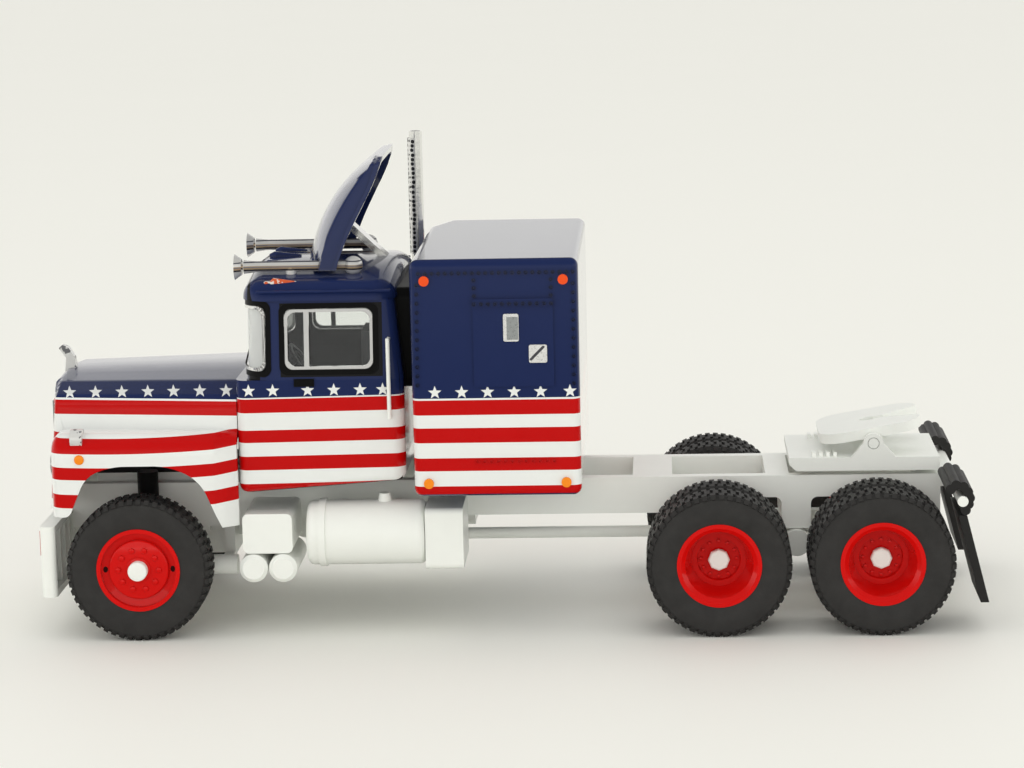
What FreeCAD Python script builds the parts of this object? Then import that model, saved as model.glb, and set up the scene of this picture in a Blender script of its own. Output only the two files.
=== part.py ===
import FreeCAD, Part
import Sketcher
import math
import os

# Toy highway tractor unit with a sleeper box, about 1:87.
# The nose points to -X, the driver's side to -Y, and Z = 0 is the ground.
# The origin lies under the middle of the whole outline.

os.makedirs("parts", exist_ok=True)
doc = FreeCAD.newDocument("tractor_unit")

# Driving dimensions in millimetres
SIZES = {
    # Thicknesses, gaps and overruns that several pieces share
    "wall": 0.6,
    "skin": 0.3,
    "seat_gap": 0.05,
    "running_gap": 0.05,
    "overrun": 1.0,
    # Wheels and axles
    "wheel_radius": 6.1,
    "rim_radius": 3.6,
    "front_axle_x": -31.72,
    "drive_axle_x": 17.2,
    "tail_axle_x": 30.8,
    "front_tyre_face": 13.3,
    "front_tyre_width": 3.4,
    "rear_tyre_face": 14.0,
    "rear_tyre_width": 3.2,
    "twin_gap": 0.5,
    "tyre_shoulder": 0.55,
    "pin_radius": 0.6,
    "hub_radius": 0.78,
    "hub_stub": 0.35,
    "rim_lip": 0.35,
    "rim_wall": 0.35,
    "front_disc_inset": 0.5,
    "rear_disc_inset": 3.0,
    "disc_thickness": 0.6,
    "hand_hole_radius": 0.32,
    "hand_hole_ring": 2.2,
    # Ladder frame
    "frame_setback": 0.3,
    "frame_overhang": 5.5,
    "rail_outer": 4.95,
    "rail_width": 1.05,
    "rail_top": 11.95,
    "rail_bottom": 8.8,
    "rail_front_bottom": 8.1,
    "rail_front_length": 16.1,
    "rail_shallow_bottom": 10.05,
    "rail_rear_bottom": 8.5,
    "rail_corner": 0.6,
    "post_half": 1.25,
    "bogie_half": 3.6,
    "cross_depth": 1.2,
    "cross_length": 2.0,
    "deck_front_x": 10.0,
    "deck_length": 3.4,
    # Engine and driveline
    "engine_setback": 2.3,
    "engine_length": 12.0,
    "engine_half": 3.5,
    "engine_top": 13.2,
    "engine_bottom": 7.6,
    "sump_bottom": 5.4,
    "sump_length": 4.6,
    "gearbox_length": 8.0,
    "gearbox_half": 1.9,
    "shaft_radius": 0.5,
    # Front axle
    "axle_beam_half": 0.95,
    "axle_beam_span": 9.3,
    "spring_half_length": 5.0,
    "spring_width": 1.1,
    "spring_leaf": 0.3,
    "spring_y": 4.4,
    "shock_radius": 0.9,
    "shock_y": 6.3,
    "shock_top": 13.3,
    "steering_rod_radius": 0.85,
    "steering_rod_length": 2.1,
    "steering_rod_y": 8.0,
    "steering_rod_setback": 5.7,
    # Rear bogie
    "beam_inner": 4.3,
    "beam_width": 1.2,
    "beam_depth": 1.5,
    "beam_end_radius": 1.35,
    "trunnion_radius": 1.15,
    "trunnion_tube_radius": 0.92,
    "housing_radius": 1.0,
    "diff_radius": 1.9,
    "diff_half": 1.5,
    # Hood with its fenders
    "nose_reach": 7.18,
    "nose_round": 1.1,
    "cab_setback": 8.52,
    "hood_front_half": 9.3,
    "hood_rear_half": 10.7,
    "bonnet_lead": 0.85,
    "bonnet_round": 0.8,
    "hood_side_top": 20.4,
    "hood_front_crease_half": 5.65,
    "hood_rear_crease_half": 7.4,
    "hood_front_crease": 21.15,
    "hood_rear_crease": 21.35,
    "hood_front_top": 21.45,
    "hood_rear_top": 21.85,
    "hood_crown": 50.0,
    "hood_crease_round": 3.0,
    "hood_shoulder": 0.9,
    "fender_half": 12.9,
    "fender_rear_half": 11.7,
    "fender_taper": 1.8,
    "fender_top": 17.7,
    "fender_shoulder": 1.9,
    "fender_front_tip": 10.7,
    "fender_rear_tip": 9.6,
    "fender_front_foot": 1.5,
    "fender_rear_foot": 1.3,
    "arch_top": 15.0,
    "arch_flat_half": 2.9,
    "arch_corner": 2.6,
    "grille_half": 6.2,
    "grille_bottom": 12.4,
    "grille_top": 19.6,
    "grille_frame": 0.7,
    "grille_bar": 0.35,
    "headlamp_radius": 1.1,
    "headlamp_y": 10.55,
    "headlamp_z": 14.9,
    "headlamp_proud": 0.15,
    "lamp_setback": 2.3,
    "lamp_y": 12.0,
    "lamp_z": 17.3,
    "lamp_radius": 0.8,
    "lamp_length": 1.0,
    "ornament_height": 1.7,
    "ornament_half": 0.36,
    # Bumper
    "bumper_reach": 1.2,
    "bumper_depth": 1.3,
    "bumper_half": 12.6,
    "bumper_bottom": 3.7,
    "bumper_top": 9.8,
    "bumper_corner": 0.5,
    # Cab
    "cab_length": 14.2,
    "cab_roof_lean": 0.7,
    "cab_half": 11.4,
    "cab_bottom": 12.2,
    "cab_sill_rise": 1.0,
    "cab_sill_round": 0.7,
    "cab_belt": 21.9,
    "cab_belt_half": 11.3,
    "cab_eave": 28.5,
    "cab_eave_half": 10.5,
    "screen_setback": 0.8,
    "cab_corner": 1.0,
    "cab_screen_corner": 2.4,
    "roof_lip": 0.2,
    "roof_round": 1.6,
    "roof_corner": 1.9,
    "roof_rise": 2.4,
    "roof_crown": 53.0,
    "door_window_setback": 4.25,
    "door_window_length": 7.5,
    "door_window_bottom": 22.75,
    "door_window_top": 27.85,
    "window_corner": 0.7,
    "screen_bottom": 22.6,
    "screen_top": 28.1,
    "screen_wrap": 2.7,
    "gasket_width": 0.42,
    "gasket_proud": 0.08,
    "trim_width": 0.24,
    "trim_proud": 0.12,
    "vent_bar_setback": 1.45,
    "door_handle_setback": 5.0,
    "door_handle_length": 1.7,
    "door_handle_height": 0.65,
    "door_handle_bottom": 21.35,
    "grab_rail_radius": 0.17,
    "grab_rail_inset": 1.2,
    "grab_rail_bottom": 18.6,
    "grab_rail_top": 25.4,
    "grab_rail_stand": 0.5,
    # Cab inside
    "seat_setback": 9.6,
    "seat_depth": 3.4,
    "seat_half": 2.3,
    "seat_y": 5.2,
    "seat_height": 19.0,
    "seat_back_top": 25.4,
    "seat_back": 0.9,
    "dash_depth": 2.2,
    "dash_top": 21.2,
    "steering_radius": 1.9,
    "steering_rim": 0.2,
    "steering_setback": 5.0,
    "steering_z": 22.4,
    "steering_tilt": 35.0,
    # Roof fittings
    "horn_y": 7.3,
    "horn_rise": 0.1,
    "short_horn_lead": 0.15,
    "long_horn_lead": 0.94,
    "horn_bulb_setback": 9.9,
    "horn_mouth_radius": 1.1,
    "horn_throat_radius": 0.6,
    "horn_tube_radius": 0.46,
    "horn_flare": 0.7,
    "horn_taper": 1.1,
    "horn_bulb_radius": 0.8,
    "horn_foot_setback": 4.6,
    "roof_lamp_length": 2.8,
    "roof_lamp_radius": 0.45,
    "roof_lamp_setback": 1.9,
    "deflector_half": 8.3,
    "deflector_top_half": 6.4,
    "deflector_setback": 8.5,
    "deflector_reach": 4.45,
    "deflector_rise": 9.4,
    "deflector_bulge": 1.95,
    "deflector_wall": 0.55,
    "deflector_side": 1.85,
    "deflector_corner": 4.0,
    "deflector_bead": 0.15,
    "deflector_bead_width": 0.42,
    "brace_width": 2.0,
    "brace_depth": 0.75,
    "brace_run": 5.1,
    "brace_rise": 4.9,
    "brace_setback": 1.5,
    "brace_sink": 0.45,
    "boot_half": 9.0,
    "boot_wall": 1.0,
    "boot_bottom": 20.7,
    "boot_top": 29.2,
    # Exhaust stack
    "stack_setback": 0.3,
    "stack_y": 12.35,
    "stack_radius": 0.6,
    "stack_top": 40.5,
    "stack_run_radius": 0.4,
    "stack_bore": 0.45,
    "stack_bore_depth": 1.8,
    "guard_skin": 0.12,
    "guard_drop": 0.6,
    "guard_length": 10.5,
    # Sleeper box
    "sleeper_gap": 0.9,
    "sleeper_length": 13.95,
    "sleeper_half": 14.05,
    "sleeper_bottom": 12.3,
    "sleeper_top": 32.2,
    "sleeper_wall": 0.9,
    "sleeper_round": 0.7,
    "stack_corner_run": 1.6,
    "stack_corner_width": 4.9,
    "hatch_setback": 5.2,
    "hatch_length": 6.65,
    "hatch_bottom": 21.6,
    "hatch_top": 28.4,
    "hatch_proud": 0.12,
    "ledge_height": 0.55,
    "ledge_proud": 0.25,
    "port_setback": 7.72,
    "port_length": 1.27,
    "port_bottom": 25.4,
    "port_top": 27.7,
    "latch_setback": 9.8,
    "latch_length": 1.5,
    "latch_bottom": 23.6,
    "latch_top": 25.1,
    "marker_radius": 0.42,
    "marker_proud": 0.25,
    "marker_inset": 1.25,
    "marker_drop": 1.7,
    "marker_rise": 1.2,
    # Boxes and tanks on the frame
    "battery_setback": 0.3,
    "battery_length": 4.2,
    "battery_bottom": 7.2,
    "battery_top": 10.6,
    "battery_face": 12.0,
    "battery_round": 0.5,
    "air_tank_radius": 1.2,
    "air_tank_face": 12.4,
    "air_tank_round": 0.3,
    "tank_setback": 5.7,
    "tank_length": 10.0,
    "tank_radius": 2.75,
    "tank_y": 9.9,
    "tank_z": 8.55,
    "tank_round": 0.5,
    "tank_band": 0.15,
    "tank_band_width": 0.6,
    "tank_cap_setback": 3.45,
    "tank_cap_radius": 0.65,
    "tank_cap_top_radius": 0.45,
    "tank_cap_height": 0.6,
    "locker_length": 3.2,
    "locker_bottom": 5.7,
    "locker_top": 10.9,
    "locker_face": 12.2,
    # Fifth wheel
    "slider_front_reach": 7.2,
    "slider_rear_reach": 5.6,
    "slider_bottom": 12.35,
    "slider_thickness": 1.15,
    "slider_tooth": 0.35,
    "slider_half": 5.3,
    "pivot_setback": 0.2,
    "pivot_rise": 1.2,
    "pivot_radius": 0.45,
    "pivot_boss": 0.85,
    "bracket_y": 5.0,
    "bracket_width": 0.6,
    "bracket_foot": 1.9,
    "plate_front_reach": 4.4,
    "plate_rear_reach": 4.4,
    "plate_thickness": 0.85,
    "plate_rise": 1.2,
    "plate_corner": 2.2,
    "plate_hub_radius": 0.68,
    "kingpin_radius": 0.7,
    "throat_width": 0.9,
    "throat_mouth": 4.2,
    "plate_tilt": 9.5,
    # Mud flaps
    "flap_bar_setback": 1.1,
    "flap_bar_z": 11.3,
    "flap_bar_radius": 0.45,
    "flap_inner": 6.0,
    "flap_outer": 13.5,
    "flap_top": 10.1,
    "flap_foot": 2.7,
    "flap_lean": 1.85,
    "flap_thickness": 0.7,
    "flap_head_rib": 0.42,
    "flap_head_bend": 0.75,
    "flap_head_top": 13.1,
}



class Size:
    """A length with the sheet formula that gives it."""

    def __init__(self, amount, formula):
        self.amount = amount
        self.formula = formula

    def __add__(self, other):
        return Size(self.amount + other.amount, f"({self.formula} + {other.formula})")

    def __sub__(self, other):
        return Size(self.amount - other.amount, f"({self.formula} - ({other.formula}))")

    def __neg__(self):
        return Size(-self.amount, f"(-1 * {self.formula})")

    def __mul__(self, share):
        return Size(self.amount * share, f"({self.formula} * {share})")

    def __truediv__(self, parts):
        return Size(self.amount / parts, f"({self.formula} / {parts})")


class Sheet:
    """The driving dimensions, as cells of the document's spreadsheet."""

    def __init__(self, sizes):
        cells = doc.addObject("Spreadsheet::Sheet", "Sizes")
        for row, (name, amount) in enumerate(sizes.items(), start=1):
            cells.set(f"A{row}", name)
            cells.set(f"B{row}", str(amount))
            cells.setAlias(f"B{row}", name)
            setattr(self, name, Size(amount, f"Sizes.{name}"))
        doc.recompute()


at = Sheet(SIZES)
zero = Size(0.0, "0")
sub_parts = []


def bind(thing, path, length):
    thing.setExpression(path, length.formula)


def node(label, thing):
    """Names a finished piece, which is written to a file of that name."""
    thing.Label = label
    sub_parts.append(thing)
    return thing


# Ways of making shapes

def block(name, xs, ys, zs):
    """A box between two stations along each axis."""
    box = doc.addObject("Part::Box", name)
    spans = (("Length", "x", xs), ("Width", "y", ys), ("Height", "z", zs))
    for side, letter, (low, high) in spans:
        bind(box, side, high - low)
        bind(box, f"Placement.Base.{letter}", low)
    return box


TINY = 1e-6

TURNS = {
    "x": FreeCAD.Rotation(FreeCAD.Vector(0, 1, 0), 90),
    "y": FreeCAD.Rotation(FreeCAD.Vector(1, 0, 0), -90),
    "z": FreeCAD.Rotation(),
}


def placed(thing, axis, start):
    """Turns a shape made along Z to an axis, with its foot at a start point."""
    thing.Placement = FreeCAD.Placement(FreeCAD.Vector(), TURNS[axis])
    for letter, length in zip("xyz", start):
        bind(thing, f"Placement.Base.{letter}", length)
    return thing


def rod(name, axis, start, length, radius):
    """A cylinder that runs a length along an axis from its start point."""
    cylinder = doc.addObject("Part::Cylinder", name)
    bind(cylinder, "Radius", radius)
    bind(cylinder, "Height", length)
    return placed(cylinder, axis, start)


def cone(name, axis, start, length, radius_one, radius_two):
    """A cone that runs a length along an axis from its start point."""
    taper = doc.addObject("Part::Cone", name)
    bind(taper, "Radius1", radius_one)
    bind(taper, "Radius2", radius_two)
    bind(taper, "Height", length)
    return placed(taper, axis, start)


def ball(name, centre, radius):
    sphere = doc.addObject("Part::Sphere", name)
    bind(sphere, "Radius", radius)
    return placed(sphere, "z", centre)


def fixed(sketch, place, position, coordinates):
    """Holds a sketch point at its coordinates, by the sheet."""
    for kind, length, axis in zip(("DistanceX", "DistanceY"), coordinates, (-2, -1)):
        if length is zero:
            sketch.addConstraint(Sketcher.Constraint("PointOnObject", place, position, axis))
        else:
            count = sketch.addConstraint(Sketcher.Constraint(kind, place, position, length.amount))
            bind(sketch, f"Constraints[{count}]", length)


def sketched(body, plane, points):
    """A closed outline of straight lines on one of the body's own planes."""
    sketch = body.newObject("Sketcher::SketchObject", body.Name + "_outline")
    origin = [f for f in body.Origin.OriginFeatures if f.Role == plane][0]
    sketch.AttachmentSupport = [(origin, "")]
    sketch.MapMode = "FlatFace"
    corners = [FreeCAD.Vector(a.amount, b.amount, 0) for a, b in points]
    for i, corner in enumerate(corners):
        sketch.addGeometry(Part.LineSegment(corner, corners[(i + 1) % len(corners)]), False)
    for i in range(len(points)):
        sketch.addConstraint(Sketcher.Constraint("Coincident", i, 2, (i + 1) % len(points), 1))
    for i, point in enumerate(points):
        fixed(sketch, i, 1, point)
    return sketch


PLANES = {"x": "YZ_Plane", "y": "XZ_Plane", "z": "XY_Plane"}


def prism(name, axis, points, low, high):
    """An outline padded along an axis between two stations."""
    body = doc.addObject("PartDesign::Body", name)
    sketch = sketched(body, PLANES[axis], points)
    pad = body.newObject("PartDesign::Pad", name + "_pad")
    pad.Profile = sketch
    bind(pad, "Length", high - low)
    bind(sketch, "AttachmentOffset.Base.z", -high if axis == "y" else low)
    return body


def turned(name, points, x, y, z):
    """An outline of (radius, station along Y) points, revolved about Y at a place."""
    body = doc.addObject("PartDesign::Body", name)
    sketch = sketched(body, "XY_Plane", points)
    revolution = body.newObject("PartDesign::Revolution", name + "_turn")
    revolution.Profile = sketch
    revolution.ReferenceAxis = (sketch, ["V_Axis"])
    revolution.Angle = 360
    for letter, length in zip("xyz", (x, y, z)):
        bind(body, f"Placement.Base.{letter}", length)
    return body


def joined(name, pieces):
    fuse = doc.addObject("Part::MultiFuse", name)
    fuse.Shapes = pieces
    return fuse


def cut(name, piece, *tools):
    remove = doc.addObject("Part::Cut", name)
    remove.Base = piece
    remove.Tool = tools[0] if len(tools) == 1 else joined(name + "_tools", list(tools))
    return remove


def rounded(name, piece, radius, wanted):
    """Rounds the edges that a test picks out."""
    doc.recompute()
    fillet = doc.addObject("Part::Fillet", name)
    fillet.Base = piece
    edges = enumerate(piece.Shape.Edges, start=1)
    fillet.Edges = [(i, radius.amount, radius.amount) for i, edge in edges if wanted(edge)]
    return fillet


def along(letter):
    """A test for straight edges that run along an axis."""
    number = "xyz".index(letter)

    def test(edge):
        if edge.Curve.TypeId != "Part::GeomLine":
            return False
        return abs(edge.tangentAt(edge.FirstParameter)[number]) > 0.999
    return test


def across(name, piece):
    """The mirror image of a piece on the other side of the truck."""
    mirror = doc.addObject("Part::Mirroring", name)
    mirror.Source = piece
    mirror.Normal = FreeCAD.Vector(0, 1, 0)
    return mirror


def group(name, pieces):
    """Like pieces that don't touch, kept in one file."""
    compound = doc.addObject("Part::Compound", name)
    compound.Links = pieces
    return compound


def both_sides(name, piece):
    return group(name, [piece, across(name + "_across", piece)])


def formed(name, shape):
    """A shape made by Part's own functions."""
    feature = doc.addObject("Part::Feature", name)
    feature.Shape = shape
    return feature


def curved_wire(corners, place):
    """A closed wire through (a, b, radius) corners, each rounded by its radius or left sharp."""
    points = [FreeCAD.Vector(a, b, 0) for a, b, radius in corners]
    starts, middles, ends = [], [], []
    for i, (a, b, radius) in enumerate(corners):
        corner = points[i]
        before = (points[i - 1] - corner).normalize()
        after = (points[(i + 1) % len(points)] - corner).normalize()
        half = before.getAngle(after) / 2
        reach = radius / math.tan(half)
        inward = (before + after).normalize()
        starts.append(corner + before * reach)
        middles.append(corner + inward * (radius / math.sin(half) - radius))
        ends.append(corner + after * reach)
    edges = []
    for i in range(len(corners)):
        arc = [place(p.x, p.y) for p in (starts[i], middles[i], ends[i])]
        if corners[i][2]:
            edges.append(Part.Arc(*arc).toShape())
        following = place(starts[(i + 1) % len(corners)].x, starts[(i + 1) % len(corners)].y)
        if (following - arc[2]).Length > TINY:
            edges.append(Part.LineSegment(arc[2], following).toShape())
    return Part.Wire(edges)


def plan_wire(front, rear, half, front_radius, rear_radius, z, rise=0):
    """A rounded rectangle seen from above, which may rise towards its rear."""
    corners = [(front, -half, front_radius), (rear, -half, rear_radius),
               (rear, half, rear_radius), (front, half, front_radius)]
    return curved_wire(corners, lambda a, b: FreeCAD.Vector(a, b, z + rise * (a - front) / (rear - front)))


def loft(wires):
    return Part.makeLoft(wires, True, True)




# Stations along the truck, worked out from its axles and reaches

hood_front = at.front_axle_x - at.nose_reach
bonnet_front = hood_front - at.bonnet_lead
cab_front = at.front_axle_x + at.cab_setback
cab_rear = cab_front + at.cab_length
sleeper_front = cab_rear + at.sleeper_gap
sleeper_rear = sleeper_front + at.sleeper_length
frame_front = hood_front + at.frame_setback
frame_rear = at.tail_axle_x + at.frame_overhang
bogie_x = (at.drive_axle_x + at.tail_axle_x) / 2
pivot_x = at.tail_axle_x - at.pivot_setback
slider_top = at.slider_bottom + at.slider_thickness
pivot_z = slider_top + at.pivot_rise
roof_top = at.cab_eave + at.roof_rise
inside_rails = at.rail_outer - at.rail_width
post_bottom = at.wheel_radius + at.trunnion_radius + at.seat_gap


# Wheels and the axles that carry them

def axle_pin(label, x, face):
    """A pin through both wheels, with a thicker stub in each hub."""
    pin = rod(label + "_rod", "y", (x, -face, at.wheel_radius), face * 2, at.pin_radius)
    stub = rod(label + "_stub", "y", (x, -face, at.wheel_radius), at.hub_stub * 4, at.hub_radius)
    return node(label, joined(label, [pin, stub, across(label + "_far", stub)]))


def tyre(name, x, inner, outer):
    """A plain tyre between two stations along Y, with rounded-off shoulders."""
    slope = at.tyre_shoulder
    tread = at.wheel_radius
    points = [(at.rim_radius, inner + slope / 2), (tread - slope * 2, inner), (tread, inner + slope * 2),
              (tread, outer - slope * 2), (tread - slope * 2, outer), (at.rim_radius, outer - slope / 2)]
    return turned(name, points, x, zero, at.wheel_radius)


FRONT_DISC_SHARES = (0.45, 0.62)


def front_rim(name):
    """A dished disc with a raised lip and a hand hole at each side of the hub."""
    outer = -(at.front_tyre_face - at.tyre_shoulder / 3)
    inner = -(at.front_tyre_face - at.front_tyre_width)
    bead = at.rim_radius - at.seat_gap
    well = bead - at.rim_wall
    disc = outer + at.front_disc_inset
    back = disc + at.disc_thickness
    bore = at.hub_radius + at.seat_gap / 2
    crown, step = (bead * share for share in FRONT_DISC_SHARES)
    points = [(bore, disc - at.rim_lip / 2), (crown, disc - at.rim_lip / 2), (step, disc + at.rim_lip / 2),
              (well, disc), (well, outer), (bead, outer), (bead, inner), (well, inner), (well, back),
              (bore, back)]
    disc_piece = turned(name, points, at.front_axle_x, zero, at.wheel_radius)
    holes = []
    for side, x in (("front", at.front_axle_x - at.hand_hole_ring),
                    ("rear", at.front_axle_x + at.hand_hole_ring)):
        holes.append(rod(f"hand_hole_{side}", "y", (x, outer - at.overrun, at.wheel_radius),
                         at.front_disc_inset + at.disc_thickness + at.overrun * 2, at.hand_hole_radius))
    return cut(name + "_drilled", disc_piece, *holes)


REAR_DISC_SHARES = (0.55, 0.58, 0.72)


def rear_rim(name, x):
    """A deep dish across the twin tyres, stepped in towards the hub."""
    outer = -(at.rear_tyre_face - at.tyre_shoulder / 3)
    inner = -(at.rear_tyre_face - at.rear_tyre_width * 2 - at.twin_gap)
    bead = at.rim_radius - at.seat_gap
    well = bead - at.rim_wall
    disc = outer + at.rear_disc_inset
    back = disc + at.disc_thickness * 2
    bore = at.hub_radius + at.seat_gap / 2
    nut_seat, step, ridge = (well * share for share in REAR_DISC_SHARES)
    points = [(bore, disc), (nut_seat, disc), (step, disc - at.rim_lip), (ridge, disc - at.rim_lip),
              (well - at.rim_wall, outer + at.rim_lip), (well, outer), (bead, outer), (bead, inner),
              (well, inner),
              (well, back), (bore, back)]
    return turned(name, points, x, zero, at.wheel_radius)


def front_wheels():
    face = at.front_tyre_face - at.hub_stub
    axle_pin("front_axle_pin", at.front_axle_x, face)
    node("front_rims", both_sides("front_rims", front_rim("front_rim_left")))
    left = tyre("front_tyre_left", at.front_axle_x, -at.front_tyre_face,
                -(at.front_tyre_face - at.front_tyre_width))
    node("front_tyres", both_sides("front_tyres", left))


def rear_wheels(number, x):
    face = at.rear_tyre_face - at.rear_disc_inset + at.hub_stub
    axle_pin(f"rear_axle_{number}_pin", x, face)
    node(f"rear_axle_{number}_rims", both_sides(f"rear_rims_{number}", rear_rim(f"rear_rim_{number}", x)))
    outside = -at.rear_tyre_face
    middle = outside + at.rear_tyre_width
    outer = tyre(f"rear_tyre_{number}_outer", x, outside, middle)
    second = middle + at.twin_gap
    inner = tyre(f"rear_tyre_{number}_inner", x, second, second + at.rear_tyre_width)
    tyres = [outer, inner, across(f"far_{number}_outer", outer), across(f"far_{number}_inner", inner)]
    node(f"rear_axle_{number}_tyres", group(f"tyres_{number}", tyres))


# Frame, engine and driveline

def rail():
    """One side rail, shallow beside the bogie, where a post stands down from it."""
    front_step = frame_front + at.rail_front_length
    shallow_front = bogie_x - at.bogie_half
    shallow_rear = bogie_x + at.bogie_half
    post_front = bogie_x - at.post_half
    post_rear = bogie_x + at.post_half
    points = [(frame_front, at.rail_front_bottom), (front_step, at.rail_front_bottom),
              (front_step + at.cross_length, at.rail_bottom), (shallow_front, at.rail_bottom),
              (shallow_front, at.rail_shallow_bottom), (post_front, at.rail_shallow_bottom),
              (post_front, post_bottom), (post_rear, post_bottom), (post_rear, at.rail_shallow_bottom),
              (shallow_rear, at.rail_shallow_bottom), (shallow_rear, at.rail_bottom),
              (frame_rear, at.rail_rear_bottom), (frame_rear, at.rail_top), (frame_front, at.rail_top)]
    plain = prism("rail_left", "y", points, -at.rail_outer, -inside_rails)

    def recess_corner(edge):
        return along("y")(edge) and abs(edge.Vertexes[0].Z - at.rail_shallow_bottom.amount) < TINY
    return rounded("rail_soft", plain, at.rail_corner, recess_corner)


def cross_member(name, front, length):
    bottom = at.rail_top - at.cross_depth
    return block(name, (front, front + length), (-inside_rails, inside_rails), (bottom, at.rail_top))


def chassis_frame():
    """Both rails and the members across between them."""
    left = rail()
    pieces = [left, across("rail_right", left)]
    pieces.append(cross_member("front_cross", frame_front, at.cross_length / 2))
    pieces.append(cross_member("cab_cross", cab_rear, at.cross_length))
    pieces.append(cross_member("deck_cross", at.deck_front_x, at.deck_length))
    pieces.append(cross_member("bogie_cross", pivot_x - at.slider_front_reach - at.cross_length,
                               at.cross_length))
    pieces.append(cross_member("rear_cross", frame_rear - at.cross_length, at.cross_length))
    return node("chassis_frame", joined("chassis_frame", pieces))


def engine():
    """One plain block with its sump and gearbox."""
    front = hood_front + at.engine_setback
    rear = front + at.engine_length
    half = (-at.engine_half, at.engine_half)
    main = block("engine_main", (front, rear), half, (at.engine_bottom, at.engine_top))
    sump = block("engine_sump", (rear - at.sump_length, rear), half, (at.sump_bottom, at.engine_bottom))
    gearbox_bottom = at.engine_bottom - at.gearbox_half / 2
    gearbox = block("gearbox", (rear, rear + at.gearbox_length), (-at.gearbox_half, at.gearbox_half),
                    (gearbox_bottom, at.rail_top))
    return node("engine", joined("engine", [main, sump, gearbox]))


def axle_bore(name, x, span):
    """The running hole for an axle pin."""
    return rod(name, "y", (x, -span, at.wheel_radius), span * 2, at.pin_radius + at.running_gap)


def front_axle_beam():
    x = at.front_axle_x
    half = at.axle_beam_half
    beam = block("front_beam", (x - half, x + half), (-at.axle_beam_span, at.axle_beam_span),
                 (at.wheel_radius - half, at.wheel_radius + half))
    bore = axle_bore("front_beam_bore", x, at.axle_beam_span + at.overrun)
    return node("front_axle_beam", cut("front_axle_beam", beam, bore))


LEAF_SHARES = (0.45, 0.72, 1.0)


def front_springs():
    """Leaf packs between the front axle beam and the rails."""
    x = at.front_axle_x
    low = at.wheel_radius + at.axle_beam_half
    half = at.spring_width / 2
    ys = (-at.spring_y - half, -at.spring_y + half)
    leaves = []
    for number, share in enumerate(LEAF_SHARES):
        reach = at.spring_half_length * share
        bottom = low + at.spring_leaf * number
        leaves.append(block(f"leaf_{number}", (x - reach, x + reach), ys, (bottom, bottom + at.spring_leaf)))
    top = low + at.spring_leaf * len(LEAF_SHARES)
    front_end = x - at.spring_half_length
    rear_end = x + at.spring_half_length - at.spring_width
    for side, end in (("front", front_end), ("rear", rear_end)):
        leaves.append(block(f"hanger_{side}", (end, end + at.spring_width), ys, (top, at.rail_front_bottom)))
    return node("front_springs", both_sides("front_springs", joined("spring_left", leaves)))


def front_shocks():
    """Upright dampers from the axle beam to a lug on each rail."""
    x = at.front_axle_x
    low = at.wheel_radius + at.axle_beam_half
    body = rod("shock_body", "z", (x, -at.shock_y, low), at.shock_top - low, at.shock_radius)
    lug = block("shock_lug", (x - at.shock_radius / 2, x + at.shock_radius / 2),
                (-at.shock_y, -at.rail_outer), (at.rail_top - at.cross_depth, at.rail_top))
    return node("front_shocks", both_sides("front_shocks", joined("shock_left", [body, lug])))


def steering_rods():
    """Short cylinders behind the front wheels, on arms from the rails."""
    x = at.front_axle_x + at.steering_rod_setback
    radius = at.steering_rod_radius
    z = at.sump_bottom
    body = rod("steering_body", "x", (x, -at.steering_rod_y, z), at.steering_rod_length, radius)
    arm_x = x + at.steering_rod_length / 2
    arm = block("steering_arm", (arm_x - radius / 2, arm_x + radius / 2),
                (-at.steering_rod_y, -inside_rails - at.seat_gap),
                (z - radius / 2, z + radius / 2))
    post = block("steering_post", (arm_x - radius / 2, arm_x + radius / 2),
                 (-at.rail_outer, -inside_rails - at.seat_gap),
                 (z - radius / 2, at.rail_front_bottom))
    return node("steering_rods", both_sides("steering_rods", joined("steering_left", [body, arm, post])))


def walking_beams():
    """The bogie's side beams, each with a bore for both axles and a hub between."""
    start = -at.beam_inner - at.beam_width
    z = at.wheel_radius
    half = at.beam_depth / 2
    axles = (at.drive_axle_x, at.tail_axle_x)
    pieces = [block("beam_bar", axles, (start, -at.beam_inner), (z - half, z + half))]
    for number, x in enumerate(axles):
        pieces.append(rod(f"beam_end_{number}", "y", (x, start, z), at.beam_width, at.beam_end_radius))
    pieces.append(rod("beam_hub", "y", (bogie_x, start, z), at.beam_width, at.trunnion_radius))
    bores = [axle_bore(f"beam_bore_{number}", x, at.rear_tyre_face) for number, x in enumerate(axles)]
    return node("walking_beams",
                both_sides("walking_beams", cut("beam_left", joined("beam_solid", pieces), *bores)))


def axle_housing(number, x):
    """A tube round the axle pin with the bulge of its differential."""
    inner = at.beam_inner
    tube = rod(f"housing_tube_{number}", "y", (x, -inner, at.wheel_radius), inner * 2, at.housing_radius)
    bulge = rod(f"housing_bulge_{number}", "y", (x, -at.diff_half, at.wheel_radius), at.diff_half * 2,
                at.diff_radius)
    bore = axle_bore(f"housing_bore_{number}", x, inner + at.overrun)
    solid = joined(f"housing_solid_{number}", [tube, bulge])
    return node(f"axle_housing_{number}", cut(f"housing_{number}", solid, bore))


def trunnion_tube():
    """The tube across the bogie's middle, with a saddle between the frame's posts."""
    z = at.wheel_radius
    tube = rod("trunnion_rod", "y", (bogie_x, -at.beam_inner, z), at.beam_inner * 2, at.trunnion_tube_radius)
    saddle = block("trunnion_saddle", (bogie_x - at.post_half, bogie_x + at.post_half),
                   (-inside_rails, inside_rails), (z, post_bottom + at.cross_depth))
    return node("trunnion_tube", joined("trunnion_tube", [tube, saddle]))


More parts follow.
